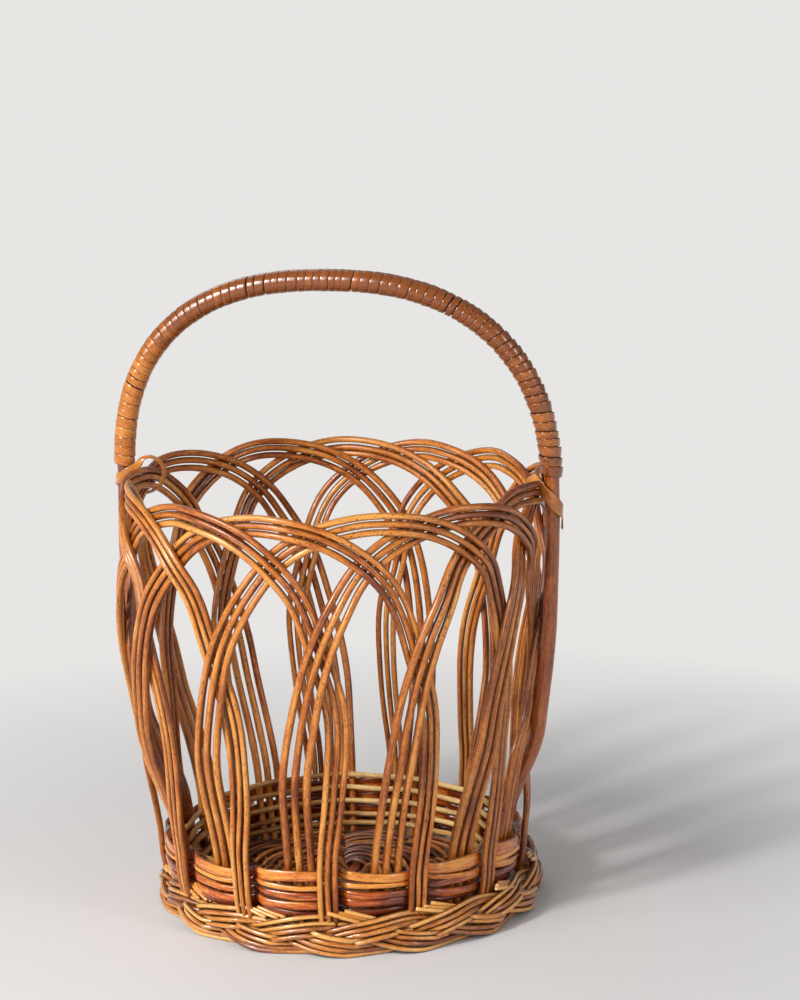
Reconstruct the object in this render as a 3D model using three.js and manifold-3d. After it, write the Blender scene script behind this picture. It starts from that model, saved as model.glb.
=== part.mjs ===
// A round willow basket with an open wall of crossing arches and a cane-wrapped hoop handle.
// Millimetres, +Z up. The basket stands on z = 0 round the z axis, and its handle stands in the xz plane.
import * as THREE from 'three';
import { mergeVertices } from 'three/addons/utils/BufferGeometryUtils.js';
import Module from 'manifold-3d';

const wasm = await Module();
wasm.setup();

// Driving dimensions: the wall
const archCount = 13;
const footRadius = 82;
const heelHeight = 22;
const heelRadius = 87.3;
const wallTopHeight = 40;
const wallTopRadius = 89;
const shoulderHeight = 100;
const shoulderRadius = 99.5;
const bellyHeight = 155;
const bellyRadius = 105;
const rimHeight = 212.5;
const rimRadius = 103.5;

// Driving dimensions: the arches, whose crown is half an oval and whose feet stand three bays apart
const crownSpringHeight = 150;
const crownRisingBays = 1.42;
const crownFallingBays = 1.34;
const crownMiddleBay = 1.68;
const risingFootBay = -0.15;
const fallingFootBay = 3.18;
const risingFootHeight = 4;
const risingTurnAboveWall = 3;
const fallingTurnAboveWall = 6;
const rodButtDiameter = 3.9;
const rodTipDiameter = 2.8;
const rodSpreadAtFoot = 2.0;
const rodSpreadAtCrown = 0.7;
const rodSpreadInFall = 1.1;
const rodSpreadAtTip = 0.4;
const rodSides = 5;

// Driving dimensions: the handle
const handleBay = 6.02;
const coreDiameter = 7.4;
const hoopRise = 100;
const hoopFullness = 2.28;
const coreCrossingAboveWall = 4;
const coreCrossingBelowShoulder = 6;
const asideFade = 20;
const handleDent = 3.2;
const handleDentAtRim = 1.6;
const handleBulge = 1.5;
const wrapLoops = 24;
const wrapThickness = 1.2;
const wrapLoopGap = 1.5;
const wrapBendRoom = 0.5;
const wrapStartAboveRim = 9;
const tieWidth = 3.2;
const tieThickness = 1.1;
const tieSlant = THREE.MathUtils.degToRad(55);
const rightTieHalfLength = 13.5;
const rightTieTopAboveRim = 8;
const leftTieHalfLength = 11.5;
const leftTieTopAboveRim = 10.4;
const longestTieHalfLength = 32;
const tieLengthStep = 0.5;

// Driving dimensions: the weavers, the foot braid and the base
const weaverCount = 4;
const weaverHeight = 3.9;
const weaverThickness = 2.8;
const weaverSpacing = 4.5;
const innerWeaverCount = 3;
const innerWeaverDiameter = 2.6;
const innerWeaverSpacing = 7;
const innerWeaverBottom = 21;
const braidStrands = 3;
const braidWaves = 5;
const braidRadius = 92.4;
const braidLean = THREE.MathUtils.degToRad(25);
const braidSwing = 6.2;
const strandWidth = 6;
const strandThickness = 4.2;
const standCut = 0.5;
const stickDiameter = 4.2;
const slitStickHeight = 5.2;
const slitStickWidth = 5.6;
const stickSpacing = 6.6;
const stickCrossHalf = 15;
const baseUnderside = 0.8;
const baseThickness = 8.4;
const baseRidges = 4;
const baseRidgeDepth = 0.9;
const baseOpening = 21;

// Clearances: between rods that cross, and between a piece and its seat
const crossingGap = 0.55;
const seatGap = 0.35;
const weaverGap = 0.9;
const huggingGap = 0.6;
const innerWeaverSwing = 1;
const corePassGap = 1.2;

// Values that follow from the driving dimensions
const bayAngle = (2 * Math.PI) / archCount;
const baseTop = baseUnderside + baseThickness;
const stickHeight = baseUnderside + (baseThickness - baseRidgeDepth) / 2;
const rodMeanDiameter = (rodButtDiameter + rodTipDiameter) / 2;
const layOffset = (rodMeanDiameter + crossingGap) / 2;
const risingFootOffset = -(rodButtDiameter + weaverThickness) / 2 - weaverGap;
const fallingFootOffset = (rodTipDiameter + weaverThickness) / 2 + weaverGap;
const coreStandoff = layOffset + (rodMeanDiameter + coreDiameter) / 2 + crossingGap;
const coreFootHeight = baseTop + seatGap;

const willow = (name, colour, roughness) =>
  new THREE.MeshStandardMaterial({ name, color: colour, roughness, metalness: 0 });

// A smooth step from 0 to 1 as value goes from start to end.
function ramp(value, start, end) {
  return THREE.MathUtils.smoothstep(value, start, end);
}

// A smooth curve through [x, y] points, read at x, level beyond the last point on each side.
function readCurve(points, x) {
  const last = points.length - 1;
  if (x <= points[0][0]) return points[0][1];
  if (x >= points[last][0]) return points[last][1];
  const slope = (i) => {
    const low = points[Math.max(i - 1, 0)];
    const high = points[Math.min(i + 1, last)];
    return (high[1] - low[1]) / (high[0] - low[0]);
  };
  const i = points.findIndex((point, index) => index < last && x < points[index + 1][0]);
  const width = points[i + 1][0] - points[i][0];
  const t = (x - points[i][0]) / width;
  const rise = points[i + 1][1] - points[i][1];
  const bend = (1 - t) * (slope(i) * width - rise) - t * (slope(i + 1) * width - rise);
  return points[i][1] + rise * t + t * (1 - t) * bend;
}

// How near an angle is to the nearer foot of the handle: its signed distance in radians.
function angleFromHandle(angle) {
  const turn = THREE.MathUtils.euclideanModulo(angle + Math.PI / 2, Math.PI) - Math.PI / 2;
  return turn;
}

const wallPoints = [
  [0, footRadius],
  [heelHeight, heelRadius],
  [wallTopHeight, wallTopRadius],
  [shoulderHeight, shoulderRadius],
  [bellyHeight, bellyRadius],
  [rimHeight, rimRadius],
];

// The middle of the wall's thickness. The handle presses the arches in, and the woven wall goes out round its
// feet.
function wallRadius(angle, height) {
  const reach = 1.25 * bayAngle;
  const away = Math.min(Math.abs(angleFromHandle(angle)) / reach, 1);
  const near = Math.cos((away * Math.PI) / 2) ** 2;
  const bulge = handleBulge * ramp(height, 0.65 * heelHeight, 0.85 * heelHeight);
  const dent = THREE.MathUtils.lerp(handleDent, handleDentAtRim, ramp(height, bellyHeight, rimHeight));
  const press = bulge - (bulge + dent) * ramp(height, wallTopHeight, shoulderHeight);
  return readCurve(wallPoints, height) + near * press;
}

// How far a group of rods steps aside from a handle foot that it would touch, as an angle.
// The group's middle is at the given bay and it reaches as far to each side as halfWidth.
function stepAside(bay, height, halfWidth) {
  const away = angleFromHandle((bay - handleBay) * bayAngle);
  const needed = (halfWidth + coreDiameter / 2 + seatGap) / wallTopRadius;
  const low = 1 - ramp(height, shoulderHeight - asideFade, shoulderHeight);
  return Math.sign(away) * Math.max(needed - Math.abs(away), 0) * low;
}

// A place on the wall: angle in bays from arch 0, height, and distance outside the middle of the wall.
function onWall(bay, height, offset, aside = 0) {
  const angle = (bay - handleBay) * bayAngle + aside;
  const radius = wallRadius(angle, height) + offset;
  return new THREE.Vector3(radius * Math.cos(angle), radius * Math.sin(angle), height);
}

// A closed body through rings of points. Each ring is a flat oval or, with 4 sides, a rectangle.
function loft(rings, sides, closed) {
  const positions = [];
  const boxed = sides === 4;
  const grow = boxed ? Math.SQRT2 : 1;
  for (const ring of rings) {
    for (let side = 0; side < sides; side += 1) {
      const turn = ((side + (boxed ? 0.5 : 0)) * 2 * Math.PI) / sides;
      const point = ring.at.clone();
      point.addScaledVector(ring.out, ring.halfOut * grow * Math.cos(turn));
      point.addScaledVector(ring.across, ring.halfAcross * grow * Math.sin(turn));
      positions.push(point.x, point.y, point.z);
    }
  }
  const index = [];
  const spans = closed ? rings.length : rings.length - 1;
  for (let span = 0; span < spans; span += 1) {
    const here = span * sides;
    const next = ((span + 1) % rings.length) * sides;
    for (let side = 0; side < sides; side += 1) {
      const after = (side + 1) % sides;
      index.push(here + side, here + after, next + after, here + side, next + after, next + side);
    }
  }
  if (!closed) {
    const end = (rings.length - 1) * sides;
    for (let side = 1; side < sides - 1; side += 1) {
      index.push(0, side + 1, side, end, end + side, end + side + 1);
    }
  }
  return outwardGeometry(positions, index);
}

// A geometry from positions and triangles, turned inside out if its volume comes out negative.
function outwardGeometry(positions, index) {
  const corner = (i) => new THREE.Vector3().fromArray(positions, 3 * i);
  let volume = 0;
  for (let i = 0; i < index.length; i += 3) {
    volume += corner(index[i]).dot(corner(index[i + 1]).cross(corner(index[i + 2])));
  }
  if (volume < 0) index.reverse();
  const geometry = new THREE.BufferGeometry();
  geometry.setAttribute('position', new THREE.Float32BufferAttribute(positions, 3));
  geometry.setIndex(index);
  return geometry;
}

// The two directions square to a run: out, as near as can be to the given way, and across.
function squareTo(run, way) {
  const out = way.clone().addScaledVector(run, -way.dot(run)).normalize();
  const across = new THREE.Vector3().crossVectors(run, out).normalize();
  return { out, across };
}

// The direction of a chain of points at one of them.
function runAt(points, i, closed) {
  const last = points.length - 1;
  const before = closed && i === 0 ? last : Math.max(i - 1, 0);
  const after = closed && i === last ? 0 : Math.min(i + 1, last);
  return points[after].clone().sub(points[before]).normalize();
}

function awayFromAxis(point) {
  return new THREE.Vector3(point.x, point.y, 0).normalize();
}

// The unrolled course of an arch: bays from its foot, height, and distance outside the middle of the wall.
function archCourse(fallingFootHeight) {
  const over = layOffset;
  const under = -layOffset;
  const rising = [
    [risingFootBay, risingFootHeight, risingFootOffset],
    [risingFootBay, heelHeight, risingFootOffset],
    [risingFootBay, wallTopHeight + risingTurnAboveWall, risingFootOffset],
  ];
  const falling = [
    [fallingFootBay, wallTopHeight + fallingTurnAboveWall, fallingFootOffset],
    [fallingFootBay, fallingFootHeight, fallingFootOffset],
  ];
  // Each leg's rise is the share of its way to the crown's spring, its lean is bays towards the crown,
  // and its lay is how far it has gone from the foot's side of the wall. The falling leg bows out a little.
  const risingLeg = [
    [0.16, 0.01, 0.2], [0.33, 0.03, 0.6], [0.5, 0.07, 1], [0.68, 0.13, 1], [0.86, 0.22, 1], [1.04, 0.33, 1],
  ];
  for (const [rise, lean, lay] of risingLeg) {
    const offset = THREE.MathUtils.lerp(risingFootOffset, over, lay);
    rising.push(legStation(risingFootBay + lean, rise, offset));
  }
  const fallingLeg = [[0.24, -0.06, 0.4], [0.5, -0.1, 0.95], [0.75, -0.07, 1], [1, 0.1, 1]];
  for (const [rise, lean, lay] of fallingLeg) {
    const offset = THREE.MathUtils.lerp(fallingFootOffset, under, lay);
    falling.unshift(legStation(fallingFootBay - lean, rise, offset));
  }
  return [...rising, ...crownStations(over, under), ...falling];
}

function legStation(bay, rise, offset) {
  return [bay, THREE.MathUtils.lerp(wallTopHeight, crownSpringHeight, rise), offset];
}

// The crown dives under its second and first neighbours, comes up past its middle and goes over the next two.
function crownStations(over, under) {
  const turns = [158, 143, 128, 113, 97, 83, 68, 53, 37, 23];
  const rise = rimHeight - crownSpringHeight;
  return turns.map((degrees) => {
    const turn = THREE.MathUtils.degToRad(degrees);
    const isOver = degrees > 150 || (degrees < 90 && degrees > 30);
    const halfBays = degrees > 90 ? crownRisingBays : crownFallingBays;
    return [
      crownMiddleBay + halfBays * Math.cos(turn),
      crownSpringHeight + rise * Math.sin(turn),
      isOver ? over : under,
    ];
  });
}

// One of the three rods of an arch. Place is 1 for the outer rod, 0 for the middle one and -1 for the inner
// one.
function archRings(arch, place, course) {
  const last = course.length - 1;
  const spreads = [
    [0, rodSpreadAtFoot], [0.3, rodSpreadAtFoot], [0.5, rodSpreadAtCrown], [0.85, rodSpreadInFall],
    [1, rodSpreadAtTip],
  ];
  const points = [];
  const radii = [];
  course.forEach(([bay, height, offset], i) => {
    const before = course[Math.max(i - 1, 0)];
    const after = course[Math.min(i + 1, last)];
    const bayLength = readCurve(wallPoints, height) * bayAngle;
    const runAcross = (after[0] - before[0]) * bayLength;
    const runUp = after[1] - before[1];
    const diameter = THREE.MathUtils.lerp(rodButtDiameter, rodTipDiameter, i / last);
    const spacing = diameter + readCurve(spreads, i / last);
    const shift = (place * spacing) / Math.hypot(runAcross, runUp);
    const rodBay = arch + bay - (shift * runUp) / bayLength;
    const aside = stepAside(arch + bay, height, spacing + diameter / 2);
    points.push(onWall(rodBay, height + shift * runAcross, offset, aside));
    radii.push(diameter / 2);
  });
  return points.map((at, i) => {
    const frame = squareTo(runAt(points, i, false), awayFromAxis(at));
    return { at, ...frame, halfOut: radii[i], halfAcross: radii[i] };
  });
}

// A wall weaver: a flattened rod round the whole wall, outside the rising rods and inside the falling ones.
function wallWeaver(height) {
  const perBay = 3;
  const rings = [];
  for (let i = 0; i < archCount * perBay; i += 1) {
    const bay = handleBay + i / perBay;
    const at = onWall(bay, height, 0);
    const top = onWall(bay, height + weaverHeight / 2, 0);
    const across = top.sub(at).normalize();
    const { out } = squareTo(across, awayFromAxis(at));
    rings.push({ at, out, across, halfOut: weaverThickness / 2, halfAcross: weaverHeight / 2 });
  }
  return loft(rings, 4, true);
}

// An inner weaver: a thin rod that hugs the rising rods from inside, swings out between them and passes
// behind the feet of the handle.
function innerWeaver(height) {
  const hug = risingFootOffset - (rodButtDiameter + innerWeaverDiameter) / 2 - huggingGap;
  const free = -(weaverThickness + innerWeaverDiameter) / 2 - weaverGap - innerWeaverSwing;
  const pass = -coreFootReach() - innerWeaverDiameter / 2 - corePassGap;
  const stops = [[-0.28, hug], [-0.02, hug], [0.37, free]];
  const points = [];
  for (let arch = 0; arch < archCount; arch += 1) {
    for (const [bay, offset] of stops) {
      const away = Math.abs(angleFromHandle((arch + bay - handleBay) * bayAngle));
      const near = 1 - ramp(away, 0.4 * bayAngle, 0.8 * bayAngle);
      points.push(onWall(arch + bay, height, THREE.MathUtils.lerp(offset, Math.min(pass, offset), near)));
    }
  }
  const rings = points.map((at, i) => {
    const frame = squareTo(runAt(points, i, true), awayFromAxis(at));
    return { at, ...frame, halfOut: innerWeaverDiameter / 2, halfAcross: innerWeaverDiameter / 2 };
  });
  return loft(rings, 4, true);
}

// How far inside the middle of the wall the handle core's foot reaches, behind the weavers.
function coreFootReach() {
  return weaverThickness / 2 + weaverGap + seatGap + coreDiameter;
}

// The heights between which the handle core crosses from the inside of the wall to the outside.
const coreCrossingStart = wallTopHeight + coreCrossingAboveWall;
const coreCrossingEnd = shoulderHeight - coreCrossingBelowShoulder;

// The radius of the handle core's line at a height below the rim.
function coreRadiusAt(height) {
  const inside = -coreFootReach() + coreDiameter / 2;
  const offset = inside + (coreStandoff - inside) * ramp(height, coreCrossingStart, coreCrossingEnd);
  return wallRadius(0, height) + offset;
}

// The handle core's line: up one side of the wall, over in a full hoop and down the other side.
function corePoints() {
  const crossingSteps = 4;
  const upperSteps = 5;
  const hoopSteps = 26;
  const heights = [coreFootHeight, 0.65 * heelHeight, heelHeight];
  for (let i = 0; i < crossingSteps; i += 1) {
    heights.push(THREE.MathUtils.lerp(coreCrossingStart, coreCrossingEnd, i / crossingSteps));
  }
  for (let i = 0; i < upperSteps; i += 1) {
    heights.push(THREE.MathUtils.lerp(coreCrossingEnd, rimHeight, i / upperSteps));
  }
  const right = heights.map((height) => new THREE.Vector3(coreRadiusAt(height), 0, height));
  const left = right.map((point) => new THREE.Vector3(-point.x, 0, point.z)).reverse();
  const half = coreRadiusAt(rimHeight);
  const hoop = [];
  for (let i = 0; i <= hoopSteps; i += 1) {
    const turn = (Math.PI * i) / hoopSteps;
    const side = Math.sign(Math.cos(turn)) * Math.abs(Math.cos(turn)) ** (2 / hoopFullness);
    const lift = Math.abs(Math.sin(turn)) ** (2 / hoopFullness);
    hoop.push(new THREE.Vector3(half * side, 0, rimHeight + hoopRise * lift));
  }
  return [...right, ...hoop, ...left];
}

function handleCore(points) {
  const across = new THREE.Vector3(0, 1, 0);
  const rings = points.map((at, i) => {
    const out = new THREE.Vector3().crossVectors(runAt(points, i, false), across).normalize();
    return { at, out, across, halfOut: coreDiameter / 2, halfAcross: coreDiameter / 2 };
  });
  return loft(rings, 8, false);
}

// The cane wrap: one unbroken flat strip wound along the hoop from rim to rim.
function handleWrap(path) {
  const length = path.getLength();
  const samples = 400;
  let start = 0;
  for (let i = 0; i <= samples / 2; i += 1) {
    if (path.getPointAt(i / samples).z < rimHeight + wrapStartAboveRim) start = i / samples;
  }
  const span = 1 - 2 * start;
  const loopPitch = (span * length) / (wrapLoops + 1);
  const loopRadius = coreDiameter / 2 + seatGap + wrapBendRoom + wrapThickness / 2;
  const stepsPerLoop = 10;
  const across = new THREE.Vector3(0, 1, 0);
  const rings = [];
  const total = wrapLoops * stepsPerLoop;
  for (let step = 0; step <= total; step += 1) {
    const along = start + (loopPitch / 2 + (step / stepsPerLoop) * loopPitch) / length;
    const run = path.getTangentAt(along);
    const out = new THREE.Vector3().crossVectors(run, across).normalize();
    const turn = (2 * Math.PI * step) / stepsPerLoop;
    const way = out.clone().multiplyScalar(Math.cos(turn)).addScaledVector(across, Math.sin(turn));
    const at = path.getPointAt(along).addScaledVector(way, loopRadius);
    const halfAcross = (loopPitch - wrapLoopGap) / 2;
    rings.push({ at, out: way, across: run, halfOut: wrapThickness / 2, halfAcross });
  }
  addStraightEnds(rings, wrapThickness);
  printLeastLoopGap(rings, stepsPerLoop);
  return loft(rings, 4, false);
}

// A straight run on each end of a winding, one strip thickness long.
function addStraightEnds(rings, length) {
  const extend = (end, next) => {
    const run = end.at.clone().sub(next.at).normalize();
    return { ...end, at: end.at.clone().addScaledVector(run, length) };
  };
  rings.unshift(extend(rings[0], rings[1]));
  rings.push(extend(rings[rings.length - 1], rings[rings.length - 2]));
}

// The least gap between neighbouring loops of the wrap, measured on the edges of its strip.
function printLeastLoopGap(rings, stepsPerLoop) {
  const edge = (ring, side) => ring.at.clone().addScaledVector(ring.across, side * ring.halfAcross);
  let least = Infinity;
  for (let i = 0; i + stepsPerLoop < rings.length; i += 1) {
    const nearby = rings.slice(i + stepsPerLoop - 2, i + stepsPerLoop + 3);
    for (const other of nearby) least = Math.min(least, edge(rings[i], 1).distanceTo(edge(other, -1)));
  }
  console.log(`handle wrap: least gap between loops ${least.toFixed(2)} mm`);
}

// The rings of a cane tie: a flat loop on a slant round the handle core and the arch tops behind it. It
// clears the core and the arches over its whole height.
function tieRings(side, topHeight, halfLength) {
  const halfHeight = halfLength * Math.sin(tieSlant);
  const middleHeight = topHeight - halfHeight;
  const heights = [-1, -0.5, 0, 0.5, 1].map((part) => Math.min(middleHeight + part * halfHeight, rimHeight));
  const coreReach = Math.max(...heights.map(coreRadiusAt)) + coreDiameter / 2;
  const wallReach = Math.min(...heights.map((height) => wallRadius(0, height)));
  const outer = coreReach + seatGap + tieThickness / 2;
  const inner = wallReach - layOffset - rodMeanDiameter / 2 - 2 * seatGap - tieThickness;
  const steps = 16;
  const away = new THREE.Vector3(side, 0, 0);
  const along = new THREE.Vector3(0, side * Math.cos(tieSlant), -Math.sin(tieSlant));
  const across = new THREE.Vector3().crossVectors(away, along).normalize();
  const middle = new THREE.Vector3((side * (outer + inner)) / 2, 0, middleHeight);
  const depth = (outer - inner) / 2;
  const squareness = 2 / 3.4;
  const points = [];
  for (let step = 0; step < steps; step += 1) {
    const turn = (2 * Math.PI * step) / steps;
    const sweep = Math.sign(Math.sin(turn)) * Math.abs(Math.sin(turn)) ** squareness;
    const reach = Math.sign(Math.cos(turn)) * Math.abs(Math.cos(turn)) ** squareness;
    points.push(middle.clone().addScaledVector(along, halfLength * sweep).addScaledVector(away, depth * reach));
  }
  return points.map((at, i) => {
    const out = new THREE.Vector3().crossVectors(runAt(points, i, true), across).normalize();
    return { at, out, across, halfOut: tieThickness / 2, halfAcross: tieWidth / 2 };
  });
}

// The least distance between a strip, given by its rings, and the rods of the arches.
function roomInArches(rings, rods) {
  const nearest = new THREE.Vector3();
  let least = Infinity;
  for (const ring of rings) {
    for (const part of [-1, 0, 1]) {
      const point = ring.at.clone().addScaledVector(ring.across, part * ring.halfAcross);
      for (const rod of rods) {
        for (let i = 1; i < rod.length; i += 1) {
          new THREE.Line3(rod[i - 1].at, rod[i].at).closestPointToPoint(point, true, nearest);
          least = Math.min(least, nearest.distanceTo(point) - rod[i].halfOut - ring.halfOut);
        }
      }
    }
  }
  return least;
}

// A tie hangs from its top and is made longer until its lower end finds room between the rods.
function handleTie(side, topAboveRim, halfLength, rods) {
  let best = { room: -Infinity };
  for (let length = halfLength; length <= longestTieHalfLength; length += tieLengthStep) {
    const rings = tieRings(side, rimHeight + topAboveRim, length);
    const room = roomInArches(rings, rods);
    if (room > best.room) best = { room, rings };
    if (room >= seatGap) break;
  }
  return loft(best.rings, 4, true);
}

// One strand of the foot braid: it swings across the plait and passes over and under the other two.
function braidStrand(strand, centreHeight) {
  const stepsPerWave = 12;
  const steps = braidWaves * stepsPerWave;
  const lift = (strandThickness + crossingGap) / Math.sqrt(3);
  const rings = [];
  for (let step = 0; step < steps; step += 1) {
    const angle = (2 * Math.PI * step) / steps;
    const phase = braidWaves * angle + (2 * Math.PI * strand) / braidStrands;
    const level = new THREE.Vector3(Math.cos(angle), Math.sin(angle), 0);
    const up = new THREE.Vector3(0, 0, 1);
    const across = level.clone().multiplyScalar(-Math.sin(braidLean)).addScaledVector(up, Math.cos(braidLean));
    const out = level.clone().multiplyScalar(Math.cos(braidLean)).addScaledVector(up, Math.sin(braidLean));
    const at = level.clone().multiplyScalar(braidRadius).setZ(centreHeight);
    at.addScaledVector(across, braidSwing * Math.sin(phase));
    at.addScaledVector(out, lift * Math.sin(2 * phase));
    rings.push({ at, out, across, halfOut: strandThickness / 2, halfAcross: strandWidth / 2 });
  }
  return loft(rings, 6, true);
}

function heightRange(geometry) {
  geometry.computeBoundingBox();
  return [geometry.boundingBox.min.z, geometry.boundingBox.max.z];
}

// A solid that can be cut, from a geometry whose shared vertices are merged.
function toSolid(geometry) {
  const bare = geometry.clone();
  bare.deleteAttribute('normal');
  bare.deleteAttribute('uv');
  const merged = mergeVertices(bare, 1e-4);
  return new wasm.Manifold(new wasm.Mesh({
    numProp: 3,
    vertProperties: new Float32Array(merged.attributes.position.array),
    triVerts: new Uint32Array(merged.index.array),
  }));
}

function toGeometry(solid) {
  const mesh = solid.getMesh();
  const geometry = new THREE.BufferGeometry();
  geometry.setAttribute('position', new THREE.Float32BufferAttribute(mesh.vertProperties, 3));
  geometry.setIndex([...mesh.triVerts]);
  return geometry;
}

// The strand's underside is cut flat where it meets the ground.
function standFlat(geometry) {
  const reach = 2 * (braidRadius + braidSwing + strandWidth);
  const ground = new THREE.BoxGeometry(reach, reach, braidSwing + strandWidth);
  ground.translate(0, 0, -(braidSwing + strandWidth) / 2);
  return toGeometry(toSolid(geometry).subtract(toSolid(ground)));
}

// A base stick: straight through the middle, then fanned out to its spoke at both ends.
function baseStick(place, turn, middleHalfHeight, middleHalfWidth, endHalf, grow) {
  const fan = (place * Math.PI) / 6;
  const reach = baseOuterRadius() - 4 + grow;
  const side = place * stickSpacing;
  const outline = [
    [-reach * Math.cos(fan), reach * Math.sin(fan)],
    [-0.55 * reach * Math.cos(fan), 0.55 * reach * Math.sin(fan)],
    [-stickCrossHalf, side],
    [0, side],
    [stickCrossHalf, side],
    [0.55 * reach * Math.cos(fan), 0.55 * reach * Math.sin(fan)],
    [reach * Math.cos(fan), reach * Math.sin(fan)],
  ];
  const points = outline.map(([x, y]) => new THREE.Vector3(x, y, stickHeight));
  const up = new THREE.Vector3(0, 0, 1);
  const rings = points.map((at, i) => {
    const frame = squareTo(runAt(points, i, false), up);
    const spread = ramp(at.length(), stickCrossHalf + side, 0.5 * reach);
    return {
      at,
      ...frame,
      halfOut: THREE.MathUtils.lerp(middleHalfHeight, endHalf, spread) + grow,
      halfAcross: THREE.MathUtils.lerp(middleHalfWidth, endHalf, spread) + grow,
    };
  });
  return loft(rings, 6, false).rotateZ(turn);
}

function baseOuterRadius() {
  return readCurve(wallPoints, risingFootHeight) + risingFootOffset - rodButtDiameter / 2 - seatGap;
}

const slitHalfHeight = slitStickHeight / 2;
const tongueHalfHeight = slitHalfHeight / 2;
const throughTurn = Math.PI / 2;

function throughStick(place, grow) {
  return baseStick(place, throughTurn, tongueHalfHeight, slitStickWidth / 2, stickDiameter / 2, grow);
}

function plainSlitStick(place, grow) {
  return baseStick(place, 0, slitHalfHeight, slitStickWidth / 2, stickDiameter / 2, grow);
}

// A slit stick has three slots at its middle, one for each stick that passes through it.
function slitStick(place) {
  let solid = toSolid(plainSlitStick(place, 0));
  for (const other of [-1, 0, 1]) solid = solid.subtract(toSolid(throughStick(other, seatGap)));
  return toGeometry(solid);
}

// The base weave: a ridged disc with a way through it for each spoke and an opening round the crossed sticks.
function baseWeave() {
  const outer = baseOuterRadius();
  const top = baseTop;
  const bottom = baseUnderside;
  const ridge = (outer - baseOpening) / baseRidges;
  const profile = [new THREE.Vector2(baseOpening, bottom), new THREE.Vector2(outer, bottom)];
  for (let i = baseRidges; i > 0; i -= 1) {
    const edge = baseOpening + i * ridge;
    profile.push(new THREE.Vector2(edge, top - baseRidgeDepth), new THREE.Vector2(edge - ridge / 2, top));
  }
  profile.push(new THREE.Vector2(baseOpening, top - baseRidgeDepth), profile[0].clone());
  let solid = toSolid(new THREE.LatheGeometry(profile, 2 * archCount).rotateX(Math.PI / 2));
  for (const place of [-1, 0, 1]) {
    solid = solid.subtract(toSolid(plainSlitStick(place, seatGap)));
    solid = solid.subtract(toSolid(throughStick(place, seatGap)));
  }
  return toGeometry(solid);
}

const basket = new THREE.Group();

function addPiece(name, geometry, colour, roughness) {
  const mesh = new THREE.Mesh(geometry, willow(`${name}_finish`, colour, roughness));
  mesh.name = name;
  basket.add(mesh);
  return mesh;
}

// The foot braid is set so low that its underside can be cut flat by the stand cut.
const [lowest] = heightRange(braidStrand(0, 0));
const braidHeight = -lowest - standCut;
let braidTop = 0;
for (let strand = 0; strand < braidStrands; strand += 1) {
  const geometry = standFlat(braidStrand(strand, braidHeight));
  braidTop = Math.max(braidTop, heightRange(geometry)[1]);
  addPiece(`foot_braid_strand_${strand + 1}`, geometry, 0xb8723a, 0.42);
}

const course = archCourse(braidTop + seatGap);
const placeNames = [['outer', 1], ['middle', 0], ['inner', -1]];
const archRods = [];
for (let arch = 0; arch < archCount; arch += 1) {
  const number = String(arch + 1).padStart(2, '0');
  for (const [placeName, place] of placeNames) {
    const rings = archRings(arch, place, course);
    archRods.push(rings);
    addPiece(`arch_${number}_${placeName}_rod`, loft(rings, rodSides, false), 0xb36a2e, 0.38);
  }
}

for (let row = 0; row < weaverCount; row += 1) {
  const height = wallTopHeight - weaverHeight / 2 - row * weaverSpacing;
  addPiece(`wall_weaver_${row + 1}`, wallWeaver(height), 0xb0642a, 0.3);
}
for (let row = 0; row < innerWeaverCount; row += 1) {
  const height = innerWeaverBottom + row * innerWeaverSpacing;
  addPiece(`inner_weaver_${row + 1}`, innerWeaver(height), 0xc29a63, 0.5);
}

const coreLine = corePoints();
const corePath = new THREE.CatmullRomCurve3(coreLine, false, 'centripetal');
addPiece('handle_core', handleCore(coreLine), 0x9c5424, 0.35);
addPiece('handle_wrap', handleWrap(corePath), 0xb87433, 0.28);
const rightTie = handleTie(1, rightTieTopAboveRim, rightTieHalfLength, archRods);
const leftTie = handleTie(-1, leftTieTopAboveRim, leftTieHalfLength, archRods);
addPiece('handle_tie_right', rightTie, 0xa8682f, 0.3);
addPiece('handle_tie_left', leftTie, 0xa8682f, 0.3);

for (const place of [-1, 0, 1]) {
  addPiece(`base_slit_stick_${place + 2}`, slitStick(place), 0x7a4526, 0.5);
  addPiece(`base_through_stick_${place + 2}`, throughStick(place, 0), 0x7a4526, 0.5);
}
addPiece('base_weave', baseWeave(), 0x6e3d22, 0.55);

export default basket;
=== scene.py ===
"""A round willow basket with an open wall of crossing arches and a cane-wrapped hoop handle.

Lengths are millimetres until a mesh is made, angles are radians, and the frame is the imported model's:
the basket stands on z = 0 round the z axis and its handle stands in the xz plane.
"""
import math
import random

import bpy
import numpy as np
from mathutils import Matrix, Vector


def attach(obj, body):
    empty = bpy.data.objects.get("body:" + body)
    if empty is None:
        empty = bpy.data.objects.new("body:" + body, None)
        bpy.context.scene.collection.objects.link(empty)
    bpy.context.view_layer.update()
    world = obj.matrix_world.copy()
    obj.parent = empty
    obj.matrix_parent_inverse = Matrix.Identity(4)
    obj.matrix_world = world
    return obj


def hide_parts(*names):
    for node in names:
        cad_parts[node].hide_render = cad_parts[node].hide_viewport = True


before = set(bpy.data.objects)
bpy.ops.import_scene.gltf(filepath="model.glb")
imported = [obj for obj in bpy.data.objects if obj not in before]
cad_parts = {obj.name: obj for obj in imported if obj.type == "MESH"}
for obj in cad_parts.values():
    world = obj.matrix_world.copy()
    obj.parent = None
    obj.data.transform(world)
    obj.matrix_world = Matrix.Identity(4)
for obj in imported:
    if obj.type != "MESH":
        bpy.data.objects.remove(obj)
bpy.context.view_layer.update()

METRES = 0.001
UP = np.array([0.0, 0.0, 1.0])
ACROSS_HOOP = np.array([0.0, 1.0, 0.0])

# The wall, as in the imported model
ARCH_COUNT = 13
BAY_ANGLE = 2 * math.pi / ARCH_COUNT
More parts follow.
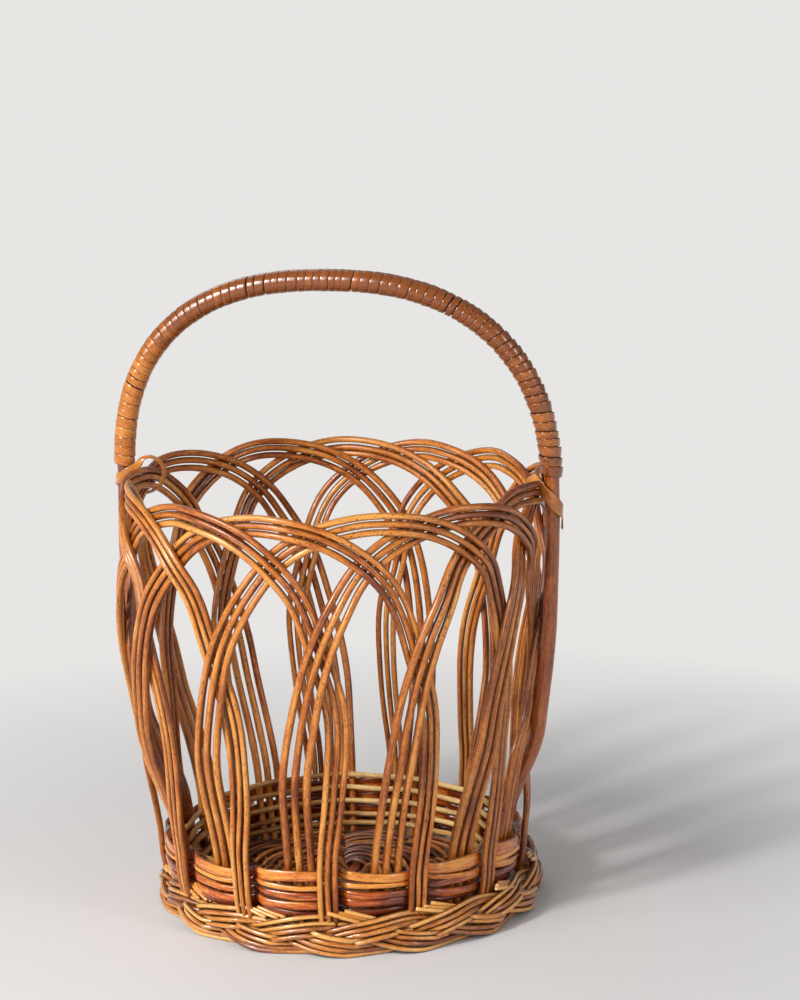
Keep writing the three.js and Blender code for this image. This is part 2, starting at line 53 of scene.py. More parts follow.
# Where the handle's right foot stands, in bays from the first arch
HANDLE_BAY = 6.02
HEEL_HEIGHT = 22.0
WALL_TOP_HEIGHT = 40.0
SHOULDER_HEIGHT = 100.0
BELLY_HEIGHT = 155.0
RIM_HEIGHT = 212.5
WALL_TOP_RADIUS = 89.0
WALL_HEIGHTS = [0.0, HEEL_HEIGHT, WALL_TOP_HEIGHT, SHOULDER_HEIGHT, BELLY_HEIGHT, RIM_HEIGHT]
WALL_RADII = [82.0, 87.3, WALL_TOP_RADIUS, 99.5, 105.0, 103.5]
# The handle presses dents into the wall, and the wall bulges round its feet
PRESS_REACH = 1.25 * BAY_ANGLE
LEFT_DENT = 2.0
LEFT_DENT_AT_RIM = 1.2
RIGHT_DENT = 4.4
RIGHT_DENT_AT_RIM = 1.8
HANDLE_BULGE = 1.5
BULGE_START_HEIGHT = 0.65 * HEEL_HEIGHT
BULGE_FULL_HEIGHT = 0.85 * HEEL_HEIGHT
LEFT_BELLY = 3.2
LEFT_BELLY_ANGLE = math.radians(-152)
LEFT_BELLY_REACH = 1.15 * BAY_ANGLE
# Where the left belly swells from and to, and where it fades from and to
LEFT_BELLY_HEIGHTS = (42.0, 80.0, 130.0, 180.0)

# The arches
CROWN_SPRING_HEIGHT = 150.0
CROWN_RISING_BAYS = 1.42
CROWN_FALLING_BAYS = 1.34
CROWN_MIDDLE_BAY = 1.68
RISING_FOOT_BAY = -0.15
FALLING_FOOT_BAY = 3.18
RISING_FOOT_HEIGHT = 4.0
FALLING_FOOT_HEIGHT = 15.0
RISING_FOOT_OFFSET = -3.4
FALLING_FOOT_OFFSET = 2.9
# Arches that lean over, by arch: how far their crown is from its place, in bays
CROWN_LEANS = {0: 0.13, 2: 0.1, 6: 0.15, 7: 0.12, 9: -0.15}
LEAN_START_HEIGHT = 50.0
LEAN_FULL_HEIGHT = 200.0
CROWN_DEGREES = (158, 143, 128, 113, 97, 83, 68, 53, 37, 23)
# Points up the legs: share of the way to the crown's spring, lean towards the crown in bays, and how far
# the leg has gone over to the side on which it crosses others
RISING_LEG = [(0.16, 0.01, 0.2), (0.33, 0.03, 0.6), (0.5, 0.07, 1), (0.68, 0.13, 1), (0.86, 0.22, 1),
              (1.04, 0.33, 1)]
FALLING_LEG = [(0.24, -0.06, 0.4), (0.5, -0.1, 0.95), (0.75, -0.07, 1), (1, 0.1, 1)]
# The gaps between an arch's rods at shares of their length: two that are set, then ranges
GAP_SHARES = [0.0, 0.25, 0.38, 0.5, 0.62, 0.82, 1.0]
SET_GAPS = [2.0, 1.8]
GAP_RANGES = [(0.6, 1.5), (0.1, 0.9), (0.1, 0.9), (0.5, 1.6), (0.1, 0.4)]
ROD_BUTT_DIAMETER = 4.0
ROD_TIP_DIAMETER = 2.9
TOUCH_GAP = 0.15
ARCH_STEP = 2.4
COURSE_SMOOTHING = 8.0
CROSSING_SMOOTHING = 4.0
KNOT_HALF_LENGTH = 2.2
KNOT_SWELLING = (0.03, 0.09)
KNOT_SPACING = (35, 95)
# How dark the painted shade between an arch's rods is beside an open gap
OPEN_GAP_PAINTED_SHADE = 0.52
# How far painted shade darkens the rods on the right side, away from the key light
RIGHT_SIDE_PAINTED_SHADE = 0.45
# How dark the painted shade between an arch's rods is where they touch
CLOSE_GAP_PAINTED_SHADE = 0.95

# The handle
CORE_DIAMETER = 7.4
HOOP_RISE = 100.0
RIGHT_FULLNESS = 2.36
LEFT_FULLNESS = 2.43
CORE_FOOT_HEIGHT = 9.55
CORE_FOOT_OFFSET = -6.25
CORE_STANDOFF = 7.725
CORE_CLEARANCE = 0.35
ASIDE_FADE = 20.0

ROOT = "root"


def ramp(value, start, end):
    """A smooth step from 0 to 1 as value goes from start to end."""
    t = np.clip((value - start) / (end - start), 0, 1)
    return t * t * (3 - 2 * t)


def smooth_curve(xs, ys, x):
    """A smooth curve through the values or rows ys at xs, read at x and level beyond both ends."""
    xs, ys = np.asarray(xs, float), np.asarray(ys, float).T
    x = np.clip(x, xs[0], xs[-1])
    last = len(xs) - 1
    low = np.maximum(np.arange(last + 1) - 1, 0)
    high = np.minimum(np.arange(last + 1) + 1, last)
    slopes = (ys[..., high] - ys[..., low]) / (xs[high] - xs[low])
    i = np.clip(np.searchsorted(xs, x, side="right") - 1, 0, last - 1)
    width = xs[i + 1] - xs[i]
    t = (x - xs[i]) / width
    rise = ys[..., i + 1] - ys[..., i]
    bend = (1 - t) * (slopes[..., i] * width - rise) - t * (slopes[..., i + 1] * width - rise)
    return np.ascontiguousarray((ys[..., i] + rise * t + t * (1 - t) * bend).T)


def smoothed(values, spread):
    """Rows of values, each averaged with its neighbours over a bell curve that is spread rows wide."""
    reach = int(3 * spread) + 1
    weights = np.exp(-0.5 * (np.arange(-reach, reach + 1) / spread) ** 2)
    before = 2 * values[:1] - values[reach:0:-1]
    after = 2 * values[-1:] - values[-2:-reach - 2:-1]
    padded = np.concatenate([before, values, after])
    columns = [np.convolve(column, weights / weights.sum(), "valid") for column in padded.T]
    return np.stack(columns, -1)


def wander(seed, along, wavelength, size):
    """A smooth random walk to both sides of zero."""
    rng = random.Random(seed)
    total = 0.0
    for octave, share in ((1.0, 0.6), (1.9, 0.3), (3.7, 0.15)):
        length = wavelength / octave * rng.uniform(0.85, 1.15)
        total += share * np.sin(2 * np.pi * along / length + rng.uniform(0, 2 * np.pi))
    return size * total


def bell(away, reach):
    """1 in the middle, falling smoothly to 0 at the reach."""
    return np.cos(np.clip(away / reach, 0, 1) * np.pi / 2) ** 2


def bay_angle_at(bay):
    """The angle round the basket at a place given in bays from the first arch."""
    return (bay - HANDLE_BAY) * BAY_ANGLE


def angle_from_handle(angle):
    """The signed angle from the nearer foot of the handle."""
    return np.mod(angle + np.pi / 2, np.pi) - np.pi / 2


def wall_radius(angle, height):
    """The middle of the wall's thickness, pressed in by the handle and bulging round its feet."""
    near = bell(np.abs(angle_from_handle(angle)), PRESS_REACH)
    bulge = HANDLE_BULGE * ramp(height, BULGE_START_HEIGHT, BULGE_FULL_HEIGHT)
    right = ramp(np.cos(angle), -0.5, 0.5)
    dent = LEFT_DENT + (RIGHT_DENT - LEFT_DENT) * right
    dent_at_rim = LEFT_DENT_AT_RIM + (RIGHT_DENT_AT_RIM - LEFT_DENT_AT_RIM) * right
    dent = dent + (dent_at_rim - dent) * ramp(height, BELLY_HEIGHT, RIM_HEIGHT)
    press = bulge - (bulge + dent) * ramp(height, WALL_TOP_HEIGHT, SHOULDER_HEIGHT)
    return smooth_curve(WALL_HEIGHTS, WALL_RADII, height) + near * press + left_belly(angle, height)


def left_belly(angle, height):
    """How far the wall swells beside the handle's left foot, below the belly."""
    away = np.abs(np.mod(angle - LEFT_BELLY_ANGLE + np.pi, 2 * np.pi) - np.pi)
    start, full, fading, gone = LEFT_BELLY_HEIGHTS
    swelling = ramp(height, start, full)
    return LEFT_BELLY * bell(away, LEFT_BELLY_REACH) * swelling * (1 - ramp(height, fading, gone))


def turned(x, y, angle):
    """A place turned round the z axis."""
    c, s = math.cos(angle), math.sin(angle)
    return x * c - y * s, x * s + y * c


def around_axis(radius, angle, height):
    return np.stack([radius * np.cos(angle), radius * np.sin(angle), height + 0.0 * angle], -1)


def on_wall(bay, height, offset, aside=0.0):
    """Places by bay, height and distance outside the wall's middle. Aside is an angle to step aside by."""
    angle = bay_angle_at(bay) + aside
    return around_axis(wall_radius(angle, height) + offset, angle, height)


def step_aside(bay, height, half_width):
    """How far a group of rods steps aside from a foot of the handle, as an angle."""
    away = angle_from_handle(bay_angle_at(bay))
    needed = (half_width + CORE_DIAMETER / 2 + CORE_CLEARANCE) / WALL_TOP_RADIUS
    low = 1 - ramp(height, SHOULDER_HEIGHT - ASIDE_FADE, SHOULDER_HEIGHT)
    return np.sign(away) * np.maximum(needed - np.abs(away), 0) * low


def unit(vectors):
    return vectors / np.maximum(np.linalg.norm(vectors, axis=-1, keepdims=True), 1e-9)


def away_from_axis(points):
    return unit(points * [1, 1, 0])


def run_along(points, closed=False):
    """The direction of a line at each of its points."""
    if closed:
        return unit(np.roll(points, -1, 0) - np.roll(points, 1, 0))
    return unit(np.gradient(points, axis=0))


def line_lengths(points):
    steps = np.linalg.norm(np.diff(points, axis=0), axis=1)
    return np.concatenate([[0.0], np.cumsum(steps)])


def round_section(sides):
    turn = 2 * np.pi * np.arange(sides) / sides
    return np.stack([np.cos(turn), np.sin(turn)], -1)


def strip_section(sides, flatness, back, dome=0.8):
    """A split cane's section: a dome outside, rounded edges and a flatter back.

    A small dome is nearly flat, and a small flatness makes the edges squarer."""
    turn = 2 * np.pi * np.arange(sides) / sides
    out = np.sign(np.cos(turn)) * np.abs(np.cos(turn)) ** dome
    out = np.where(out < 0, back * out, out)
    across = np.sign(np.sin(turn)) * np.abs(np.sin(turn)) ** flatness
    return np.stack([out, across], -1)


# Each rod's grain starts at a random place on this length
GRAIN_LENGTH = 4000
# A cut end's two rings and its middle: shares of the rod's half for their width and how far they stand out
END_RINGS = ((0.86, 0.16), (0.8, 0.17))
END_CENTRE_RISE = 0.15


class Sweep:
    """Collects swept rods and strips, and makes one mesh object of them."""

    def __init__(self):
        self.rows, self.faces = [], []
        self.count = 0

    def store(self, points, grain, *marks):
        """Keeps points with their grain, tone, cut and painted crevice shade, and returns the first one's
        number.
        """
        marks = [np.broadcast_to(mark, points.shape[:-1]).ravel() for mark in marks]
        self.rows.append(np.column_stack([points.reshape(-1, 3), grain.reshape(-1, 3), *marks]))
        start = self.count
        self.count += len(self.rows[-1])
        return start

    def add(self, line, hint, half_out, half_across, section, tone, seed, closed=False,
            crevice_shade=(0.0, 0.0), sharpness=3):
        """Adds a rod along a line of points. Hint is the way that its outside faces at each point.

        Crevice shade says how dark the painted shade is where the rod faces a neighbour, on its across
        side and on the other side, and sharpness how narrow that painted shade is."""
        count, sides = len(line), len(section)

        def at_each_point(value):
            return np.broadcast_to(value, count)[:, None]

        sideways = section[:, 1] / np.abs(section[:, 1]).max()
        # Painted shade darkens each side of the section that faces a neighbour, where shade falls between
        # rods
        painted_shade = at_each_point(crevice_shade[0]) * np.clip(sideways, 0, 1) ** sharpness
        painted_shade = painted_shade + at_each_point(crevice_shade[1]) * np.clip(-sideways, 0, 1) ** sharpness
        run = run_along(line, closed)
        out = unit(hint - run * np.sum(hint * run, -1, keepdims=True))
        across = np.cross(run, out)
        tones = at_each_point(tone)
        ring_out = section[None, :, 0] * at_each_point(half_out)
        ring_across = section[None, :, 1] * at_each_point(half_across)
        rings = line[:, None] + out[:, None] * ring_out[..., None]
        rings = rings + across[:, None] * ring_across[..., None]
        along = line_lengths(line)
        rng = random.Random(seed)
        shift = rng.uniform(0, GRAIN_LENGTH)
        spin = rng.uniform(0, 2 * math.pi)
        turned_out = ring_out * math.cos(spin) - ring_across * math.sin(spin)
        turned_across = ring_out * math.sin(spin) + ring_across * math.cos(spin)
        grain = np.stack([along[:, None] + shift + 0 * ring_out, turned_out, turned_across], -1)
        start = self.store(rings, grain, tones, 0.0, painted_shade)
        side = np.arange(sides)
        after = (side + 1) % sides
        here = sides * np.arange(count if closed else count - 1)[:, None]
        following = (here + sides) % (count * sides)
        quads = np.stack([here + side, here + after, following + after, following + side], -1)
        self.faces.extend((start + quads).reshape(-1, 4).tolist())
        if not closed:
            last = start + (count - 1) * sides
            self.close_end(rings[0], grain[0], -run[0], tones[0, 0], start, True)
            self.close_end(rings[-1], grain[-1], run[-1], tones[-1, 0], last, False)
        return self

    def close_end(self, ring, grain, way, tone, first, flip):
        """A bevelled cut across a rod's end. First numbers the ring's first point."""
        sides = len(ring)
        middle = ring.mean(0)
        size = np.linalg.norm(ring - middle, axis=1).mean()
        rim, inner = [middle + (ring - middle) * share + way * rise * size for share, rise in END_RINGS]
        centre = middle + way * END_CENTRE_RISE * size
        points = np.concatenate([rim, inner, centre[None]])
        grains = np.concatenate([grain, grain, grain.mean(0)[None]])
        begin = self.store(points, grains, tone, np.arange(2 * sides + 1) >= sides, 0.0)
        for side in range(sides):
            after = (side + 1) % sides
            rows = [
                [first + side, first + after, begin + after, begin + side],
                [begin + side, begin + after, begin + sides + after, begin + sides + side],
                [begin + sides + side, begin + sides + after, begin + 2 * sides],
            ]
            for row in rows:
                self.faces.append(row[::-1] if flip else row)

    def make(self, name, material, nodes, slot_name):
        """The mesh object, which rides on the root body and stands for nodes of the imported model."""
        mesh = bpy.data.meshes.new(name)
        rows = np.concatenate(self.rows)
        mesh.from_pydata((rows[:, :3] * METRES).tolist(), [], self.faces)
        grain = mesh.attributes.new("grain", "FLOAT_VECTOR", "POINT")
        grain.data.foreach_set("vector", rows[:, 3:6].astype(np.float32).ravel())
        for label, values in zip(("tone", "cut", "crevice_shade"), rows[:, 6:].T):
            layer = mesh.attributes.new(label, "FLOAT", "POINT")
            layer.data.foreach_set("value", values.astype(np.float32))
        mesh.polygons.foreach_set("use_smooth", [True] * len(mesh.polygons))
        mesh.update()
        piece = new_object(name, mesh)
        mesh.materials.append(material)
        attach(piece, ROOT)
        if nodes:
            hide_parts(*nodes)


def new_object(name, data):
    made = bpy.data.objects.new(name, data)
    bpy.context.scene.collection.objects.link(made)
    return made


# Materials

def node(tree, kind, inputs=None, **settings):
    """Adds a shader node. An input is a value, or the socket of another node."""
    made = tree.nodes.new(kind)
    for key, value in settings.items():
        setattr(made, key, value)
    for key, value in (inputs or {}).items():
        if isinstance(value, bpy.types.NodeSocket):
            tree.links.new(value, made.inputs[key])
        else:
            made.inputs[key].default_value = value
    return made


def linear(red, green, blue):
    """The shader's linear colour for one given as it looks on a screen, from 0 to 255."""
    shares = [value / 255 for value in (red, green, blue)]
    return (*[share / 12.92 if share <= 0.04045 else ((share + 0.055) / 1.055) ** 2.4
              for share in shares], 1.0)


def empty_tree(owner):
    """The cleared shader tree of a material or of the world."""
    owner.use_nodes = True
    owner.node_tree.nodes.clear()
    return owner.node_tree


def attribute(tree, name, output="Fac"):
    return node(tree, "ShaderNodeAttribute", attribute_name=name).outputs[output]


def stretched(tree, grain, along, around):
    """The rod's own space, scaled so that a texture is drawn out along the rod."""
    mapping = node(tree, "ShaderNodeMapping", {"Vector": grain, "Scale": (along, around, around)})
    return mapping.outputs["Vector"]


def noise(tree, grain, along, around, detail, roughness=0.5):
    inputs = {"Vector": stretched(tree, grain, along, around), "Scale": 1.0, "Detail": detail,
              "Roughness": roughness}
    return node(tree, "ShaderNodeTexNoise", inputs).outputs[0]


def mix_colour(tree, factor, first, second):
    inputs = {0: factor, 6: first, 7: second}
    return node(tree, "ShaderNodeMix", inputs, data_type="RGBA").outputs[2]


def maths(tree, operation, first, second):
    return node(tree, "ShaderNodeMath", {0: first, 1: second}, operation=operation).outputs[0]


def plus(tree, first, second):
    return maths(tree, "ADD", first, second)


def times(tree, first, second):
    return maths(tree, "MULTIPLY", first, second)


def centred(tree, value, size):
    """A noise from 0 to 1 as a change to both sides of 0."""
    return times(tree, maths(tree, "SUBTRACT", value, 0.5), size)


def rescale(tree, value, low, high, new_low=0.0, new_high=1.0):
    inputs = {0: value, 1: low, 2: high, 3: new_low, 4: new_high}
    return node(tree, "ShaderNodeMapRange", inputs, clamp=True).outputs[0]


def darker(colour, share):
    return (*[share * channel for channel in colour[:3]], 1.0)


# Where the colours stand on the scale of tone, and how far a rod's own tone shifts it
DARK_STOP = 0.14
MIDDLE_STOP = 0.46
LIGHT_STOP = 0.84
TONE_SHIFT = 0.32


def wicker(name, dark, middle, light, pith, roughness, coat=0.35, streaks=1.0, specks=1.0, bump=0.25):
    """Varnished rod or cane, streaked along the grain. Colours are given as they look on a screen."""
    dark, middle, light, pith = [linear(*colour) for colour in (dark, middle, light, pith)]
    material = bpy.data.materials.new(name)
    tree = empty_tree(material)
    grain = attribute(tree, "grain", "Vector")
    cut = attribute(tree, "cut")
    slow = noise(tree, grain, 0.022, 0.1, 3.0, 0.55)
    fine = noise(tree, grain, 0.09, 1.5, 5.0, 0.62)
    mottle = noise(tree, grain, 0.35, 0.5, 4.0, 0.6)
    level = plus(tree, centred(tree, slow, 1.15), centred(tree, fine, 0.95 * streaks))
    level = plus(tree, level, plus(tree, centred(tree, mottle, 0.55), 0.5))
    level = plus(tree, level, times(tree, attribute(tree, "tone"), TONE_SHIFT))
    colours = node(tree, "ShaderNodeValToRGB", {"Fac": level})
    stops = colours.color_ramp.elements
    stops[0].position, stops[0].color = DARK_STOP, dark
    stops[1].position, stops[1].color = LIGHT_STOP, light
    stops.new(MIDDLE_STOP).color = middle

    # Specks of leaf scars in patches, painted shade in the crevices between rods, and pale cut ends
    dots = node(tree, "ShaderNodeTexVoronoi", {"Vector": stretched(tree, grain, 0.42, 0.8), "Scale": 1.0},
                feature="F1")
    spot = rescale(tree, dots.outputs["Distance"], 0.12, 0.3, 1.0, 0.0)
    spot = times(tree, spot, rescale(tree, noise(tree, grain, 0.045, 0.16, 2.0), 0.38, 0.54))
    spot = times(tree, spot, 0.95 * specks)
    colour = mix_colour(tree, spot, colours.outputs["Color"], darker(dark, 0.16))
    # Painted shade in the crevices between rods
    colour = mix_colour(tree, attribute(tree, "crevice_shade"), colour, darker(dark, 0.2))
    colour = mix_colour(tree, cut, colour, pith)

    rough = plus(tree, plus(tree, centred(tree, fine, 0.22), roughness), times(tree, cut, 0.35))
    rough = plus(tree, rough, times(tree, spot, 0.2))
    height = plus(tree, times(tree, fine, 0.6), times(tree, mottle, 0.5))
    height = maths(tree, "SUBTRACT", height, times(tree, spot, 0.5))
    bumped = node(tree, "ShaderNodeBump", {"Height": height, "Strength": bump, "Distance": 0.0004})
    shader = node(tree, "ShaderNodeBsdfPrincipled", {
        "Base Color": colour, "Roughness": rough, "Normal": bumped.outputs["Normal"],
        "Coat Weight": coat, "Coat Roughness": 0.16, "IOR": 1.5,
    })
    node(tree, "ShaderNodeOutputMaterial", {"Surface": shader.outputs[0]})
    return material


WILLOW = wicker("arch_willow_finish", (126, 54, 10), (197, 110, 32), (232, 160, 74), (226, 186, 128),
                roughness=0.34, streaks=1.25, bump=0.4)
OUTER_WILLOW = wicker("wall_willow_finish", (112, 38, 4), (194, 88, 14), (240, 158, 62), (220, 172, 108),
                      roughness=0.24, coat=0.8, streaks=1.5, specks=0.6, bump=0.5)
PALE_WILLOW = wicker("pale_willow_finish", (112, 66, 24), (176, 124, 60), (236, 196, 130), (230, 200, 150),
                     roughness=0.48, coat=0.1, specks=0.5)
BRAID_WILLOW = wicker("braid_willow_finish", (134, 62, 14), (212, 130, 48), (244, 182, 98),
                      (244, 212, 156), roughness=0.3, coat=0.9, specks=0.6, bump=0.3)
BASE_WILLOW = wicker("base_willow_finish", (70, 26, 6), (146, 68, 20), (210, 132, 62), (206, 166, 114),
                     roughness=0.42, coat=0.3)
CORE_WILLOW = wicker("core_willow_finish", (80, 28, 4), (146, 68, 16), (188, 104, 34), (200, 160, 110),
                     roughness=0.26, coat=0.6, streaks=0.7)
CANE = wicker("cane_finish", (130, 66, 14), (186, 106, 32), (222, 152, 70), (214, 164, 100),
              roughness=0.2, coat=0.8, streaks=0.4, specks=0.5, bump=0.16)


# The arches

def leg(foot_bay, offset, side, heights, points):
    """The rows of a leg's course from the foot up: upright to the last of the heights, then leaning."""
    rise = CROWN_SPRING_HEIGHT - WALL_TOP_HEIGHT
    upright = [(foot_bay, height, offset, side, 0.0) for height in heights]
    return upright + [(foot_bay + side * lean, WALL_TOP_HEIGHT + rise * share, offset, side, lay)
                      for share, lean, lay in points]


def arch_course(arch, rng):
    """The unrolled course of an arch, foot to foot.

    A row is bay, height, the offset at the foot, the side on which it crosses others (1 is outside, -1
    inside), and how far it has gone over to that side."""
    heights = (RISING_FOOT_HEIGHT, HEEL_HEIGHT, WALL_TOP_HEIGHT + 3)
    rising = leg(RISING_FOOT_BAY, RISING_FOOT_OFFSET, 1, heights, RISING_LEG)
    heights = (FALLING_FOOT_HEIGHT, WALL_TOP_HEIGHT + 6)
    falling = leg(FALLING_FOOT_BAY, FALLING_FOOT_OFFSET, -1, heights, FALLING_LEG)[::-1]
    lift = RIM_HEIGHT - CROWN_SPRING_HEIGHT + rng.uniform(-1.5, 1.5)
    middle = CROWN_MIDDLE_BAY + rng.uniform(-0.03, 0.03)
    crown = []
    for degrees in CROWN_DEGREES:
        turn = math.radians(degrees)
        side = 1 if degrees > 150 or 30 < degrees < 90 else -1
        half_bays = CROWN_RISING_BAYS if degrees > 90 else CROWN_FALLING_BAYS
        crown.append((middle + half_bays * math.cos(turn),
                      CROWN_SPRING_HEIGHT + lift * math.sin(turn), 0.0, side, 1.0))
    rows = np.array(rising + crown + falling)
    rows[:, 0] += CROWN_LEANS.get(arch, 0.0) * ramp(rows[:, 1], LEAN_START_HEIGHT, LEAN_FULL_HEIGHT)
    return rows


def bay_length_at(height):
    return smooth_curve(WALL_HEIGHTS, WALL_RADII, height) * BAY_ANGLE


def arch_rod(arch, place, course, seed):
    """One of an arch's three rods: its line, thickness, tone and painted crevice shade.

    Place is 1 for the outer rod, 0 for the middle one and -1 for the inner one."""
    flat = np.stack([course[:, 0] * bay_length_at(course[:, 1]).mean(), course[:, 1]], -1)
    stations = line_lengths(flat)
    length = stations[-1]
    along = np.linspace(0, length, int(length / ARCH_STEP))
    course = np.column_stack([course, np.linspace(0, 1, len(course))])
    rows = smooth_curve(stations, course, along)
    rows[:, :2] = smoothed(rows[:, :2], COURSE_SMOOTHING / along[1])
    rows[:, 3:5] = smoothed(rows[:, 3:5], CROSSING_SMOOTHING / along[1])
    bay, height, foot_offset, side, lay, share = rows.T
    diameter = ROD_BUTT_DIAMETER + (ROD_TIP_DIAMETER - ROD_BUTT_DIAMETER) * share
    diameter = diameter * (1 + 0.03 * random.Random(seed).uniform(-1, 1))
    rng = random.Random(f"{seed} spread")
    gaps = SET_GAPS + [rng.uniform(low, high) for low, high in GAP_RANGES]
    spacing = diameter + smooth_curve(GAP_SHARES, gaps, share)
    bay_length = bay_length_at(height)
    run_across = np.gradient(bay) * bay_length
    run_up = np.gradient(height)
    calm = ramp(share, 0.0, 0.2) * (1 - ramp(share, 0.8, 1.0))
    drift = wander(f"arch {arch}", along, 210, 0.9) * calm + wander(seed, along, 120, 0.22)
    shift = (place * spacing + drift) / np.hypot(run_across, run_up)
    rod_bay = arch + bay - shift * run_up / bay_length
    aside = step_aside(arch + bay, height, spacing + diameter / 2)
    crossing = side * (diameter / 2 + TOUCH_GAP)
    offset = foot_offset * (1 - lay) + crossing * lay
    line = on_wall(rod_bay, height + shift * run_across, offset, aside)
    half = diameter / 2 * (1 + wander(f"{seed} girth", along, 55, 0.022))
    rng = random.Random(f"{seed} knots")
    knot = rng.uniform(10, 60)
    while knot < length:
        half = half * (1 + rng.uniform(*KNOT_SWELLING) * np.exp(-((along - knot) / KNOT_HALF_LENGTH) ** 2))
        knot += rng.uniform(*KNOT_SPACING)
    tone = random.Random(f"{seed} tone").uniform(-0.4, 0.45) + wander(f"{seed} shade", along, 150, 0.42)
    # Painted shade: the rods darken towards the right side, away from the key light
    tone = tone - RIGHT_SIDE_PAINTED_SHADE * ramp(line[:, 0], 62.0, 100.0)
    # Painted shade between the rods, darker the closer they lie; the outer and inner rods have an open
    # side
    closeness = 1 - ramp(spacing - diameter, 0.2, 2.4)
    close_gap_painted_shade = OPEN_GAP_PAINTED_SHADE + (CLOSE_GAP_PAINTED_SHADE - OPEN_GAP_PAINTED_SHADE) * closeness
    crevice_shade = (close_gap_painted_shade if place > -1 else OPEN_GAP_PAINTED_SHADE, close_gap_painted_shade if place < 1 else OPEN_GAP_PAINTED_SHADE)
    return line, half, tone, crevice_shade


def make_arches():
    section = round_section(12)
    for arch in range(ARCH_COUNT):
        course = arch_course(arch, random.Random(f"course {arch}"))
        for place_name, place in (("outer", 1), ("middle", 0), ("inner", -1)):
            label = f"arch_{arch + 1:02d}_{place_name}"
            line, half, tone, crevice_shade = arch_rod(arch, place, course, label)
            rod = Sweep().add(line, away_from_axis(line), half, half, section, tone, label,
                              crevice_shade=crevice_shade)
            rod.make(f"{label}_willow", WILLOW, [f"{label}_rod"], "arch_willow")


# The woven wall

OUTER_TOP_FRONT = 41.4
OUTER_TOP_BACK = 31.5
# Each row's height, thickness, drop below the top edge, distance that it stands out, and tone
OUTER_ROWS = [
    (6.0, 2.3, 3.0, 0.0, 0.0),
    (2.5, 2.3, 7.3, 0.55, 0.75),
    (4.1, 2.8, 11.2, 0.1, -0.35),
    (3.9, 2.9, 16.2, -0.1, -0.6),
    # The lowest row's dark tone is painted shade where the wall dips in above the braid
    (3.2, 2.4, 20.6, -0.9, -1.5),
]
# How many rows, from the top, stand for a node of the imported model
OUTER_NODES = 4
INNER_NODES = 3
# Where the weave stands highest
FRONT_ANGLE = math.radians(-90 + 16.2)


def round_the_wall(steps_per_bay):
    """Even steps once round the wall, as places in bays, as angles and as shares of a bay."""
    bay = HANDLE_BAY + np.arange(ARCH_COUNT * steps_per_bay) / steps_per_bay
    return bay, bay_angle_at(bay), np.mod(bay, 1.0)


def make_outer_rows():
    """The glossy weavers, which pass outside the rising rods and inside the falling ones.

    A row comes out high behind one falling bundle and slopes down over the rising rods to the next."""
    bay, angle, within = round_the_wall(30)
    front = 0.5 + 0.5 * np.cos(angle - FRONT_ANGLE)
    top = OUTER_TOP_BACK + (OUTER_TOP_FRONT - OUTER_TOP_BACK) * front
    stations = [0.0, 0.1, 0.2, 0.3, 0.42, 0.6, 0.85, 1.0]
    weave = smooth_curve(stations, [0.2, -0.8, -2.2, -3.4, 0.1, 1.0, 1.2, 0.2], within)
    slope = smooth_curve(stations, [-0.7, -0.8, 0.1, 0.9, 0.6, 0.0, -0.5, -0.7], within)
    # Where a row dives in behind the falling bundle, for painted shade
    behind_bundle_shade = smooth_curve([0.0, 0.22, 0.3, 0.38, 1.0], [0.0, 1.0, 1.0, 0.0, 0.0], within)
    section = strip_section(16, flatness=0.7, back=0.8)
    for row, (row_height, thickness, drop, stand, row_tone) in enumerate(OUTER_ROWS):
        label = f"outer {row}"
        height = top - drop + slope + loop_wander(label, angle, 0.4) + bay_wander(label, bay, 1.35)
        out = weave + stand + loop_wander(f"{label} out", angle, 0.2)
        out = out + bay_wander(f"{label} out", bay, 0.35)
        line = on_wall(bay, height, out)
        width = 1 + loop_wander(f"{label} width", angle, 0.12) + bay_wander(f"{label} width", bay, 0.2)
        tone = row_tone + loop_wander(f"{label} tone", angle, 0.5) + bay_wander(f"{label} tone", bay, 0.5)
        # Painted shade: the row darkens where it dives in behind the falling bundle
        tone = tone - 2.0 * behind_bundle_shade
        # Painted shade darkens the rows' edges, where shade falls between them
        strip = Sweep().add(line, away_from_axis(line), thickness / 2, row_height / 2 * width, section,
                            tone, label, closed=True, crevice_shade=(0.9, 0.9), sharpness=9)
        nodes = [f"wall_weaver_{row + 1}"] if row < OUTER_NODES else []
        strip.make(f"outer_weaver_{row + 1}", OUTER_WILLOW, nodes, "wall_willow")


def bay_wander(seed, bay, size):
    """A random value for each bay, with a smooth way from one to the next."""
    rng = random.Random(seed)
    values = np.array([rng.uniform(-1, 1) for _ in range(ARCH_COUNT)])
    place = np.mod(bay, ARCH_COUNT)
    here = place.astype(int)
    share = ramp(place - here, 0.0, 1.0)
    return size * (values[here] + (values[(here + 1) % ARCH_COUNT] - values[here]) * share)


def loop_wander(seed, angle, size):
    """A smooth random walk round the basket that comes back to its start."""
    rng = random.Random(seed)
    total = 0.0
    for waves, share in ((2, 0.3), (3, 0.3), (5, 0.35), (7, 0.3), (11, 0.25), (17, 0.2)):
        total += share * np.sin(waves * angle + rng.uniform(0, 2 * np.pi))
    return size * total


INNER_ROW_DIAMETER = 2.8
INNER_HEIGHTS = [35.2, 29.0, 21.4, 15.2, 10.6]
# Where the inner rows are palest
STRAW_ANGLE = math.radians(70)


